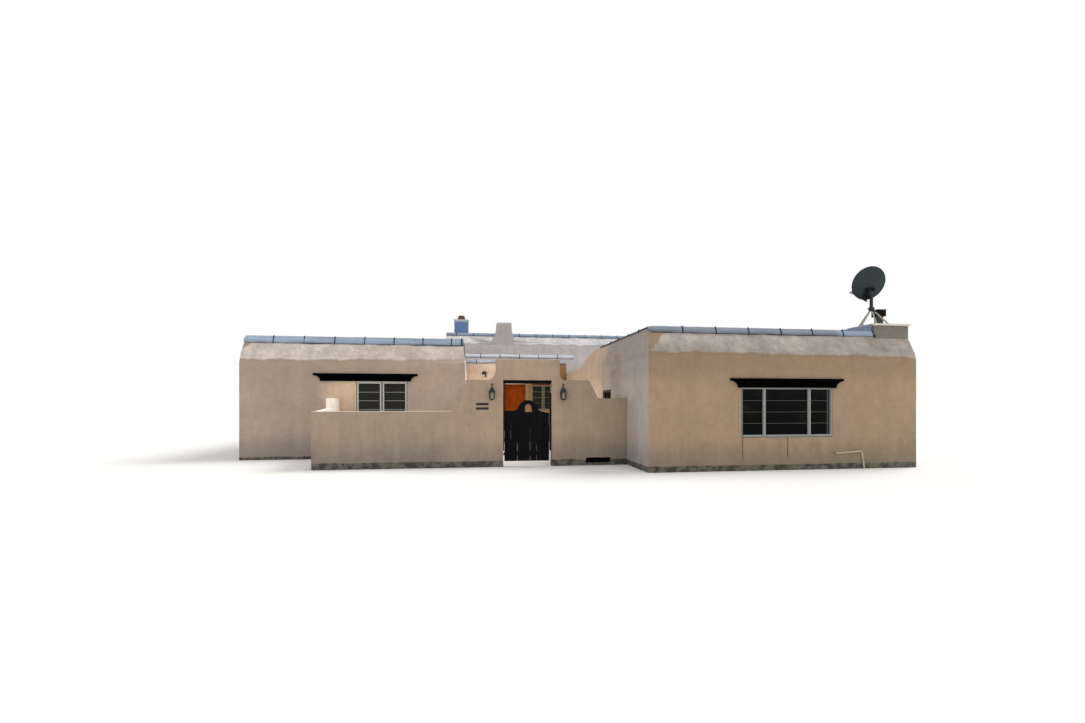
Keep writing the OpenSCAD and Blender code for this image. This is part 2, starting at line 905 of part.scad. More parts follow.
// A tripod on the corner chimney that carries the dish's mast
module dish_stand() {
    hub = [mast_at[0], mast_at[1], block_top + hub_h];
    feet = [[-leg_left, -leg_front], [leg_side, -leg_front], [leg_right, -leg_side],
        [-leg_side, leg_rear]];
    color([0.35, 0.36, 0.36]) {
        difference() {
            for (f = feet) bar([hub[0] + f[0], hub[1] + f[1], block_top - leg_w], hub, leg_w);
            block(block_x - slab_t - eps, big, -big, big, 0, block_top);
            translate([0, 0, cap_t]) cap_rise();
            block(-big, big, -big, big, 0, right_h + cap_t);
        }
        block(hub[0] - hub_w / 2, hub[0] + hub_w / 2, hub[1] - hub_w / 2, hub[1] + hub_w / 2,
            hub[2] - hub_t / 2, hub[2] + hub_t / 2);
        block(hub[0] - mast_w / 2, hub[0] + mast_w / 2, hub[1] - mast_w / 2,
            hub[1] + mast_w / 2, hub[2], block_top + mount_z - mast_w);
        mount_place() difference() {
            block(-mast_w, mast_w, -mast_w, arm_l + dish_bowl, -mast_w, mast_w);
            block(-mast_w / 2, mast_w / 2, arm_l - mast_w, big, -big, big);
            translate([0, arm_l + ball_r + dish_t, mount_down])
                sphere(r = ball_r + dish_t + seat, $fn = 180);
        }
    }
}

module drain_pipe() {
    pipe_x = x_right + right_win_x + right_win_w + lintel_over;
    pipe_y = y_front - pipe_r - seat;
    color([0.78, 0.74, 0.62]) {
        translate([pipe_x, pipe_y, pipe_z]) rotate([0, 90, 0]) cylinder(r = pipe_r, h = pipe_l);
        translate([pipe_x + pipe_l, pipe_y, 0]) cylinder(r = pipe_r, h = pipe_z);
        translate([pipe_x + pipe_l, pipe_y, pipe_z]) sphere(r = pipe_r);
    }
}

module low_wall() {
    stucco() block(x_court - low_w, x_ramp, y_court, y_court + garden_t, 0, low_h);
}

// The wall left of the gateway: ramp, shoulder and half of the head
module gate_wall_left() {
    x_curve = x_shoulder_l + shoulder_l;
    stucco() upright(concat([[x_ramp, 0]],
        hollow(x_ramp, low_h, x_shoulder_l, gateway_h, 25),
        hollow(x_curve, gateway_h, x_head, gateway_h + rise_left),
        [[x_head, head_h], [x_gate, head_h], [x_gate, 0]]), y_court, y_court + garden_t);
}

// The wall right of the gateway, with a drain slot at its foot
module gate_wall_right() {
    x_curve = x_head_end + curve_right;
    x_foot = x_shoulder_r + slope_w;
    stucco() difference() {
        upright(concat([[x_gate_end, 0], [x_gate_end, head_h], [x_head_end, head_h]],
            turned(hollow(x_curve, gateway_h, x_head_end, gateway_h + rise_right)),
            [[x_shoulder_r, gateway_h], [x_shoulder_r + slope_round, gateway_h - slope_drop],
            [x_foot - slope_round, right_low_h + slope_drop], [x_foot, right_low_h],
            [x_right, right_low_h], [x_right, 0]]), y_court, y_court + garden_t);
        block(x_right - slot_in - slot_w, x_right - slot_in, -big, big, slot_z, slot_z + slot_h);
    }
}

module gate_head() {
    stucco() block(x_gate, x_gate_end, y_court, y_court + garden_t, gateway_h, head_h);
}

// The wall that runs from the low wall's left end back to the left wing
module return_wall() {
    xa = x_court - low_w;
    ya = y_court + garden_t;
    y_step = y_left - return_raised;
    stucco() intersection() {
        sideways([[ya, 0], [y_left, 0], [y_left, return_h], [y_step, return_h],
            [y_step, low_h + return_rise], [ya, low_h]], xa - return_skew, xa + return_t);
        linear_extrude(return_h) polygon([[xa, ya], [xa + return_t, ya],
            [xa + return_t - return_skew, y_left], [xa - return_skew, y_left]]);
    }
}

module gate_posts() {
    yb = y_court + garden_t;
    color([0.07, 0.07, 0.08]) {
        block(x_gate, x_gate + post_w, yb - post_d, yb, post_foot, post_h);
        block(x_gate_end - post_w, x_gate_end, yb - post_d, yb, post_foot, post_h);
        block(x_gate, x_gate_end, yb - post_d, yb, gateway_h - beam_h, gateway_h);
    }
}

// Half of the gate's top: a small hollow curve, then half of the round arch
function gate_top() =
    let (up = arch_h - arch_r,
        reach = arch_r + arch_foot_r,
        off = sqrt(reach * reach - (arch_foot_r - up) * (arch_foot_r - up)),
        lean = atan2(up - arch_foot_r, off))
    concat(arc(-off, leaf_side_h + arch_foot_r, arch_foot_r, -90, lean, 6),
        arc(0, leaf_side_h + up, arch_r, 180 + lean, 90, 12));

// The gate's hole, round at its head and flared at its foot
function gate_hole(mid) =
    let (half = hole_w / 2, foot = leaf_side_h, bend = leaf_side_h + hole_flare)
    concat(hollow(mid - half - hole_flare, foot, mid - half, bend),
        arc(mid, foot + hole_side, half, 180, 0),
        turned(hollow(mid + half + hole_flare, foot, mid + half, bend)));

// The gate: a flat leaf with an arched top and a round-headed hole
module gate() {
    mid = leaf_x + leaf_w / 2 + arch_shift;
    top = gate_top();
    color([0.07, 0.07, 0.08]) difference() {
        upright(concat([[leaf_x, leaf_up], [leaf_x, leaf_side_h]],
            [for (p = top) [mid + p[0], p[1]]],
            [for (i = [len(top) - 2 : -1 : 0]) [mid - top[i][0], top[i][1]]],
            [[leaf_x + leaf_w, leaf_side_h], [leaf_x + leaf_w, leaf_up]]),
            y_gate_back - leaf_t, y_gate_back);
        upright(gate_hole(mid), y_gate_back - leaf_t - eps, y_gate_back + eps);
    }
}

// Straps on the gate's inner face, each with a bored knuckle
module gate_straps() {
    color([0.05, 0.05, 0.05]) for (z = hinge_heights) {
        difference() {
            union() {
                translate([pin_x, pin_y, z]) cylinder(r = knuckle_r, h = knuckle_h);
                block(pin_x + knuckle_r / 2, leaf_x + strap_l, y_gate_back,
                    y_gate_back + strap_t, z, z + knuckle_h);
            }
            translate([pin_x, pin_y, z - eps])
                cylinder(r = pin_r + pin_gap, h = knuckle_h + 2 * eps);
        }
    }
}

// Pins that carry the gate, on plates fixed to the wall's inner face
module gate_pins() {
    color([0.05, 0.05, 0.05]) for (z = hinge_heights) {
        translate([pin_x, pin_y, z - hinge_foot])
            cylinder(r = pin_r, h = knuckle_h + hinge_foot);
        block(pin_x - hinge_plate, pin_x - pin_r / 2, y_gate_back,
            y_gate_back + knuckle_r + pin_r, z - hinge_foot, z - seat);
    }
}

// A lintel with hollow curved ends, wider at its top than at its foot, and longer to its left
// by the length given
module lintel(w, more = 0) {
    foot = w[4] / 2 + lintel_over;
    top = foot + lintel_flare;
    end = [for (i = [0 : 8]) [foot + lintel_flare * (1 - cos(i * 90 / 8)),
        lintel_curve * sin(i * 90 / 8)]];
    color([0.07, 0.07, 0.08]) on_wall(w) translate([0, 0, w[5] + lintel_gap])
        upright(concat(end, [[top, lintel_h], [-top - more, lintel_h]],
            [for (i = [8 : -1 : 0]) [-end[i][0] - more, end[i][1]]]), -lintel_out, 0);
}

module lintels() {
    for (i = WITH_LINTEL) lintel(WINDOWS[i], i == LONG_LINTEL ? lintel_more : 0);
}

// The sum of the first n shares in a list
function share_sum(shares, n) = n == 0 ? 0 : shares[n - 1] + share_sum(shares, n - 1);

// A frame that fills its hole in the wall, with upright bars between the lights
module window_frame(w) {
    half = w[4] / 2;
    lights = w[6];
    last = len(lights) - 1;
    bar_w = last == 1 ? pair_w : mullion_w;
    unit = (w[4] - 2 * frame_w - last * bar_w) / share_sum(lights, last + 1);
    on_wall(w) difference() {
        block(-half, half, reveal, reveal + frame_d, 0, w[5]);
        for (i = [0 : last]) {
            xa = -half + frame_w + i * bar_w + unit * share_sum(lights, i);
            block(xa, xa + unit * lights[i], -eps, big, frame_w, w[5] - frame_w);
        }
        if (last == 1) block(-pair_groove / 2, pair_groove / 2, -eps, reveal + groove_d,
            frame_w, w[5] - frame_w);
    }
}

module window_frames() {
    color([0.66, 0.65, 0.62]) for (w = WINDOWS) window_frame(w);
}

module window_glass() {
    color([0.25, 0.3, 0.32, 0.5]) for (w = WINDOWS) on_wall(w)
        block(-w[4] / 2, w[4] / 2, reveal + frame_d, reveal + frame_d + glass_t, 0, w[5]);
}

// One floor through the house, between the outer walls
module floor_part(xa, xb, ya) {
    block(xa, xb, ya, y_rear - wall_t, floor_z - floor_t, floor_z);
}

module floor() {
    color([0.6, 0.45, 0.35]) {
        floor_part(x_left + wall_t, x_court - wall_t, y_left + wall_t);
        floor_part(x_court - wall_t, x_right + wall_t, y_main + wall_t);
        floor_part(x_right + wall_t, x_end - wall_t, y_front + wall_t);
    }
}

module door_frame() {
    xb = x_door + doorway_w;
    za = floor_z;
    zb = floor_z + doorway_h;
    color([0.3, 0.22, 0.15]) difference() {
        block(x_door, xb, y_door_back - jamb_d, y_door_back, za, zb);
        block(x_door + jamb_w, xb - jamb_w, -big, big, za - eps, zb - jamb_w);
    }
}

module front_door() {
    color([0.67, 0.32, 0.08]) block(door_leaf_x, door_leaf_x + door_leaf_w,
        y_door_back - door_t, y_door_back, floor_z + door_gap, floor_z + door_gap + door_leaf_h);
}

module door_knuckles() {
    color([0.6, 0.5, 0.3]) for (z = door_hinges) difference() {
        union() {
            translate([door_pin_x, door_pin_y, z])
                cylinder(r = door_knuckle_r, h = door_knuckle_h);
            block(door_pin_x + door_knuckle_r / 2, door_leaf_x + door_hinge_w, y_door_back,
                y_door_back + door_hinge_t, z, z + door_knuckle_h);
        }
        translate([door_pin_x, door_pin_y, z - eps])
            cylinder(r = door_pin_r + pin_gap, h = door_knuckle_h + 2 * eps);
    }
}

module door_pins() {
    color([0.6, 0.5, 0.3]) for (z = door_hinges) {
        translate([door_pin_x, door_pin_y, z - hinge_foot])
            cylinder(r = door_pin_r, h = door_knuckle_h + hinge_foot);
        block(door_pin_x - door_hinge_w, door_pin_x - door_pin_r / 2, y_door_back,
            y_door_back + door_knuckle_r + door_pin_r, z - hinge_foot, z - seat);
    }
}

// A gate lantern: a plate on the wall, a body, a ring over it and a tip
module lantern(x) {
    y_back = y_court - lantern_arm;
    y_mid = y_back - lantern_body_w / 2;
    ring_z = lantern_z + lantern_body_h;
    color([0.08, 0.08, 0.08]) {
        block(x - lantern_tip_w / 2, x + lantern_tip_w / 2, y_back, y_court,
            ring_z - lantern_ring_h, ring_z + lantern_ring_h);
        block(x - lantern_body_w / 2, x + lantern_body_w / 2, y_back - lantern_body_w, y_back,
            lantern_z, ring_z);
        block(x - lantern_w / 2, x + lantern_w / 2, y_back - lantern_w, y_back,
            ring_z, ring_z + lantern_ring_h);
        block(x - lantern_tip_w / 2, x + lantern_tip_w / 2, y_mid - lantern_tip_w / 2,
            y_mid + lantern_tip_w / 2, ring_z + lantern_ring_h, lantern_z + lantern_h);
    }
}

module wall_lights() {
    x_light = x_door - light_x - light_w;
    lantern(x_gate - lantern_off);
    lantern(x_gate_end + lantern_off);
    color([0.9, 0.88, 0.8]) block(x_light, x_light + light_w, y_main - light_d, y_main,
        floor_z + light_z, floor_z + light_z + light_h);
}

module name_plates() {
    plate_x = x_gate - lantern_off - lantern_w / 2;
    color([0.15, 0.13, 0.12]) for (i = [0, 1])
        block(plate_x - plate_w, plate_x, y_court - plate_t, y_court,
            plate_z + i * 2 * plate_h, plate_z + i * 2 * plate_h + plate_h);
}

left_front_wall();
left_side_wall();
left_court_wall();
left_rear_wall();
left_roof();
left_cap();
right_front_wall();
right_side_wall();
right_court_wall();
right_rear_wall();
right_roof();
right_cap();
main_front_left();
main_front_right();
main_front_head();
main_rear_wall();
main_roof();
main_cap();
middle_walls();
middle_roof();
upper_walls();
upper_roof();
centre_chimney();
roof_vent();
chimney_block();
flue();
dish();
dish_stand();
drain_pipe();
low_wall();
return_wall();
gate_wall_left();
gate_wall_right();
gate_head();
gate_posts();
gate();
gate_straps();
gate_pins();
lintels();
window_frames();
window_glass();
floor();
door_frame();
front_door();
door_knuckles();
door_pins();
wall_lights();
name_plates();
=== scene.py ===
"""The looks of a stuccoed courtyard house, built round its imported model."""

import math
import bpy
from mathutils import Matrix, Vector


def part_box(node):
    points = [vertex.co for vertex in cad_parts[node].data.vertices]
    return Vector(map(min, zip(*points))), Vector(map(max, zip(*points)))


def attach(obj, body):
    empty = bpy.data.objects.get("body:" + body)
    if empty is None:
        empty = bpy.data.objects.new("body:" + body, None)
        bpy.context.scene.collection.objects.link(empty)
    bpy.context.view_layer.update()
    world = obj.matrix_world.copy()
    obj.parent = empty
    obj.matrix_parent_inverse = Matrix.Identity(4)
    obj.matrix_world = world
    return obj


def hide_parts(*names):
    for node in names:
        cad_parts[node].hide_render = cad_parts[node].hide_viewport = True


bl_info = {
    "name": "Courtyard House",
    "version": (1, 0, 0),
    "blender": (4, 5, 0),
    "location": "View3D > Sidebar > Courtyard House",
    "description": "Stucco, roofing, windows, gate, door and fittings of a courtyard house",
    "category": "Add Mesh",
}

import bmesh
import bpy
from mathutils import Matrix, Vector, noise

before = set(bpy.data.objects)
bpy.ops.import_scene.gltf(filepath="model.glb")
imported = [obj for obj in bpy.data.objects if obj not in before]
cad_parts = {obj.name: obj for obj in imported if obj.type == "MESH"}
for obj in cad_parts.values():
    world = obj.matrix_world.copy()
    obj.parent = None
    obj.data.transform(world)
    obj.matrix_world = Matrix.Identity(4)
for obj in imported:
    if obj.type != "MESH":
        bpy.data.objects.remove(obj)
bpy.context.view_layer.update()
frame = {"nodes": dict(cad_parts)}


def paint(red, green, blue):
    """A screen colour from 0 to 255 as a linear colour."""
    def linear(v):
        v /= 255
        return v / 12.92 if v <= 0.04045 else ((v + 0.055) / 1.055) ** 2.4
    return linear(red), linear(green), linear(blue)


def scaled(colour, *factors):
    """A colour made darker or paler, by one factor or by one for each of its parts."""
    return [min(1, part * factor) for part, factor in zip(colour, factors * (3 // len(factors)))]


def colour_prop(name, description, red, green, blue):
    return bpy.props.FloatVectorProperty(name=name, description=description, subtype="COLOR",
                                         size=3, min=0, max=1, default=paint(red, green, blue))


def length_prop(name, description, default):
    return bpy.props.FloatProperty(name=name, description=description, default=default,
                                   min=0, unit="LENGTH")


# What a user would change


class HouseWallSettings(bpy.types.PropertyGroup):
    right: colour_prop("Right wing", "Stucco of the right wing", 160, 137, 114)
    left: colour_prop("Left wing", "Stucco of the left wing", 166, 148, 134)
    court: colour_prop("Courtyard walls", "Stucco of the courtyard walls", 157, 139, 122)
    gateway: colour_prop("Gateway", "Paler stucco left of the gateway and over it", 167, 146, 127)
    # Painted sunlight: a pale colour on tops and on faces turned right, where the sun falls
    painted_sunlight: colour_prop("Painted sunlight", "Sunlight painted on tops and on faces turned right", 250, 236, 221)
    # Painted sunlight on the return wall
    painted_sunlit_return: colour_prop("Return wall", "Sunlight painted on the return wall", 252, 240, 229)
    dirt: colour_prop("Dirty tops", "Tops of the wall right of the gateway", 112, 98, 86)
    # Painted light on the right wing's side towards the courtyard: greyish shade near the front,
    # warm bounce light further back
    right_side: colour_prop("Right wing's side", "Painted greyish shade on the side towards the courtyard", 182, 171, 163)
    court_side_bounce: colour_prop("Right wing's side, rear", "Painted warm bounce light on that side, further back", 228, 203, 180)
    entrance: colour_prop("Entrance", "Stucco of the wall round the front door", 244, 220, 194)
    ochre: colour_prop("Entrance, right", "Stucco right of the front door", 152, 118, 82)
    # Painted warm bounce light in a patch under the left lintel
    patch: colour_prop("Patch", "Painted warm bounce light under the left lintel", 217, 190, 162)
    raised: colour_prop("Raised blocks", "Stucco of the raised blocks behind", 213, 205, 200)
    chimney: colour_prop("Corner chimney", "Plain face of the corner chimney", 117, 113, 106)
    slab: colour_prop("Chimney slab", "Cement slab on the corner chimney", 206, 204, 192)
    shoulder_right: colour_prop("Right shoulder", "Coarse render, right wing", 154, 145, 137)
    shoulder_left: colour_prop("Left shoulder", "Coarse render, left wing", 194, 181, 172)
    shoulder_upper: colour_prop("Upper shoulder", "Coarse render, raised block", 232, 228, 226)
    footing: colour_prop("Footing", "Bare cement at the foot of the walls", 86, 84, 75)
    corner: length_prop("Corner", "Radius of the walls' outer corners", 0.045)
    arris: length_prop("Opening edge", "Radius of the edges of windows and doorways", 0.012)
    coping: length_prop("Coping", "Radius of the courtyard walls' tops", 0.075)


class HouseRoofingSettings(bpy.types.PropertyGroup):
    right: colour_prop("Right wing", "Roofing felt of the right wing", 126, 132, 145)
    left: colour_prop("Left wing", "Roofing felt of the left wing", 142, 157, 176)
    main: colour_prop("Entrance", "Roofing felt over the entrance", 186, 187, 204)
    middle: colour_prop("Middle", "Roofing felt of the middle block", 232, 236, 246)
    upper: colour_prop("Upper", "Roofing felt of the upper block", 146, 161, 180)
    flap: colour_prop("Flap", "Felt that rises to the corner chimney", 108, 119, 142)
    # Painted shade on the right wing's felt that faces the courtyard
    shaded: colour_prop("Right wing's side", "Painted shade on the felt towards the courtyard", 84, 86, 94)
    # Painted highlights on the tops of the felt
    right_top_highlight: colour_prop("Right felt top highlight", "Painted highlight on top of the right wing's felt", 168, 174, 180)
    chalk_and_highlight: colour_prop("Felt top highlight", "Painted highlight on top of the felt", 200, 206, 212)
    flat: colour_prop("Flat roofs", "Roofing felt of the flat roofs", 120, 124, 128)
    lap: colour_prop("Laps", "Bitumen that shows at the laps", 62, 64, 68)
    drop: length_prop("Drop", "How far the felt hangs down the shoulder", 0.15)
    roll: length_prop("Roll", "How far the felt bulges over the edge", 0.022)
    wave: length_prop("Wave", "How far its lower edge wanders", 0.022)
    pitch: length_prop("Sheet width", "Distance from lap to lap", 0.914)
    lap_width: length_prop("Lap width", "Width of a lap", 0.03)


class HouseWindowSettings(bpy.types.PropertyGroup):
    frame: colour_prop("Frames", "Weathered window frames", 141, 143, 138)
    left_frame: colour_prop("Left frame", "Frame of the left wing's front window", 196, 194, 192)
    hall_frame: colour_prop("Hall frame", "Frame of the window beside the door", 144, 134, 112)
    dark_frame: colour_prop("Dark frame", "Frame of the right wing's side window", 70, 66, 60)
    glass: colour_prop("Glass", "Dark glass", 8, 10, 9)
    bars: colour_prop("Bars", "Thin bars between the panes", 84, 84, 78)
    # Painted shadow line round each window frame
    shadow: colour_prop("Frame edges", "Painted shadow line round a frame", 92, 82, 70)
    bar: length_prop("Pane bar", "Width of the thin bars between panes", 0.010)
    rows: bpy.props.IntProperty(name="Panes", description="Panes in a light, one over another",
                                default=4, min=1)


class HouseGateSettings(bpy.types.PropertyGroup):
    black: colour_prop("Gate", "Black stain on the gate and lintels", 15, 15, 16)
    boards: bpy.props.IntProperty(name="Boards", description="Upright boards in the gate",
                                  default=7, min=2)
    board_t: length_prop("Board", "Thickness of the boards", 0.025)
    gap: length_prop("Gap", "Gap between two boards", 0.005)
    rail_h: length_prop("Rail", "Height of the rails behind the boards", 0.12)


class HouseDoorSettings(bpy.types.PropertyGroup):
    wood: colour_prop("Door", "Varnished wood of the front door", 156, 67, 0)
    trim: colour_prop("Trim", "Stained wood round the door", 160, 92, 30)
    brass: colour_prop("Brass", "Worn brass", 150, 124, 74)
    stile: length_prop("Stile", "Width of the door's uprights", 0.165)


class HouseFittingSettings(bpy.types.PropertyGroup):
    iron: colour_prop("Iron", "Black lanterns and hinges", 22, 22, 24)
    dish: colour_prop("Dish", "Grey-green paint of the dish", 52, 59, 62)
    stand: colour_prop("Stand", "Zinc of the dish's tripod", 152, 154, 152)
    vent: colour_prop("Roof vent", "Blue-grey paint of the roof vent", 101, 131, 171)
    rust: colour_prop("Rust", "Rusty steel of the flue", 40, 28, 24)
    pipe: colour_prop("Pipe", "Cream plastic of the drain pipe", 176, 166, 140)
    plate: colour_prop("Plates", "Dark blank plates beside the gate", 34, 29, 26)
    shade: colour_prop("Shade", "White glass of the door light", 222, 218, 206)
    tile: colour_prop("Tiles", "Clay tiles indoors", 150, 106, 82)


class HouseStageSettings(bpy.types.PropertyGroup):
    ground: colour_prop("Ground", "Plain pale floor", 236, 235, 232)
    sky: bpy.props.FloatProperty(name="Sky", description="Soft light from all sides",
                                 default=0.62, min=0)
    back: bpy.props.FloatProperty(name="Back light", description="High soft light from behind",
                                  default=2.0, min=0, unit="POWER")
    front: bpy.props.FloatProperty(name="Front light", description="Soft light from the front",
                                   default=0.95, min=0, unit="POWER")
    lens: bpy.props.FloatProperty(name="Lens", description="Focal length of the camera",
                                  default=16.59, min=1, unit="CAMERA")
    eye: bpy.props.FloatVectorProperty(name="Eye", description="Place of the camera",
                                       subtype="TRANSLATION", size=3, unit="LENGTH",
                                       default=(-2.525, -21.5, 1.75))
    turn: bpy.props.FloatProperty(name="Turn", description="How far the camera looks right",
                                  default=math.radians(8.25), subtype="ANGLE", unit="ROTATION")
    shift: bpy.props.FloatProperty(name="Shift", description="Upward shift of the lens",
                                   default=0.0382)


# Materials


class Field:
    """A shader socket that ordinary arithmetic works on."""

    def __init__(self, finish, socket, kind="value"):
        self.finish, self.socket, self.kind = finish, socket, kind

    def __add__(self, other):
        return self.finish.maths("ADD", self, other)

    __radd__ = __add__

    def __sub__(self, other):
        return self.finish.maths("SUBTRACT", self, other)

    def __rsub__(self, other):
        return self.finish.maths("SUBTRACT", other, self)

    def __mul__(self, other):
        return self.finish.maths("MULTIPLY", self, other)

    __rmul__ = __mul__

    def __truediv__(self, other):
        return self.finish.maths("DIVIDE", self, other)

    def __rtruediv__(self, other):
        return self.finish.maths("DIVIDE", other, self)


def add_node(tree, kind, settings=None, sockets=None):
    """Adds a node, makes its settings, then fills its sockets with values or links."""
    made = tree.nodes.new(kind)
    for key, value in (settings or {}).items():
        setattr(made, key, value)
    for key, value in (sockets or {}).items():
        value = value.socket if isinstance(value, Field) else value
        if isinstance(value, bpy.types.NodeSocket):
            tree.links.new(value, made.inputs[key])
        elif value is not None:
            made.inputs[key].default_value = value
    return made


def socket_name(word):
    return word.replace("_", " ").title().replace("Ior", "IOR")


class Finish:
    """One material: its nodes, and the numbers and colours that run between them."""

    def __init__(self, name, **constants):
        self.material = bpy.data.materials.new(name)
        self.material.use_nodes = True
        self.tree = self.material.node_tree
        self.shader = self.tree.nodes["Principled BSDF"]
        for word, value in constants.items():
            self.shader.inputs[socket_name(word)].default_value = value

    def node(self, kind, settings=None, sockets=None):
        return add_node(self.tree, kind, settings, sockets)

    def maths(self, operation, a, b):
        kinds = [v.kind for v in (a, b) if isinstance(v, Field)]
        if "vector" in kinds:
            made = self.node("ShaderNodeVectorMath", {"operation": operation}, {0: a, 1: b})
            return Field(self, made.outputs[0], "vector")
        if "colour" in kinds:
            return self.blend(1.0, a, b, operation)
        return self.number(operation, a, b)

    def blend(self, factor, a, b, mode="MIX"):
        """Colour a going over into colour b."""
        def full(v):
            if isinstance(v, Field):
                return v
            return (v, v, v, 1) if isinstance(v, (int, float)) else (*v[:3], 1)
        made = self.node("ShaderNodeMix", {"data_type": "RGBA", "blend_type": mode},
                         {0: factor, 6: full(a), 7: full(b)})
        return Field(self, made.outputs[2], "colour")

    def place(self):
        """Where a point of the surface is, in metres."""
        return Field(self, self.node("ShaderNodeTexCoord").outputs["Object"], "vector")

    def split(self, vector):
        made = self.node("ShaderNodeSeparateXYZ", None, {0: vector})
        return [Field(self, out) for out in made.outputs]

    def join(self, x, y, z):
        made = self.node("ShaderNodeCombineXYZ", None, {0: x, 1: y, 2: z})
        return Field(self, made.outputs[0], "vector")

    def grain(self, place, scale, detail=3.0, roughness=0.55):
        """Noise from about 0.2 to 0.8, with its middle at 0.5."""
        made = self.node("ShaderNodeTexNoise", None, {"Vector": place, "Scale": scale,
                                                      "Detail": detail, "Roughness": roughness})
        return Field(self, made.outputs[0])

    def facing(self):
        """The outward direction of the surface, as three numbers."""
        return self.split(Field(self, self.node("ShaderNodeNewGeometry").outputs["Normal"],
                                "vector"))

    def number(self, operation, a, b=0.0):
        made = self.node("ShaderNodeMath", {"operation": operation}, {0: a, 1: b})
        return Field(self, made.outputs[0])

    def step(self, value, start, end, low=0.0, high=1.0):
        """A smooth step from low at start to high at end."""
        made = self.node("ShaderNodeMapRange", {"interpolation_type": "SMOOTHSTEP"},
                         {0: value, 1: start, 2: end, 3: low, 4: high})
        return Field(self, made.outputs[0])

    def ripple(self, value, pitch):
        """How far a value is from the nearest whole multiple of a pitch, in its own unit."""
        made = self.node("ShaderNodeMath", {"operation": "PINGPONG"}, {0: value, 1: pitch / 2})
        return Field(self, made.outputs[0])

    def bump(self, height, strength=1.0, distance=0.01):
        made = self.node("ShaderNodeBump", None,
                         {"Strength": strength, "Distance": distance, "Height": height})
        return Field(self, made.outputs[0], "vector")

    def wear(self, **fields):
        """Sends fields to the shader: base_color, roughness, metallic or normal."""
        for word, field in fields.items():
            self.tree.links.new(field.socket, self.shader.inputs[socket_name(word)])
        return self.material


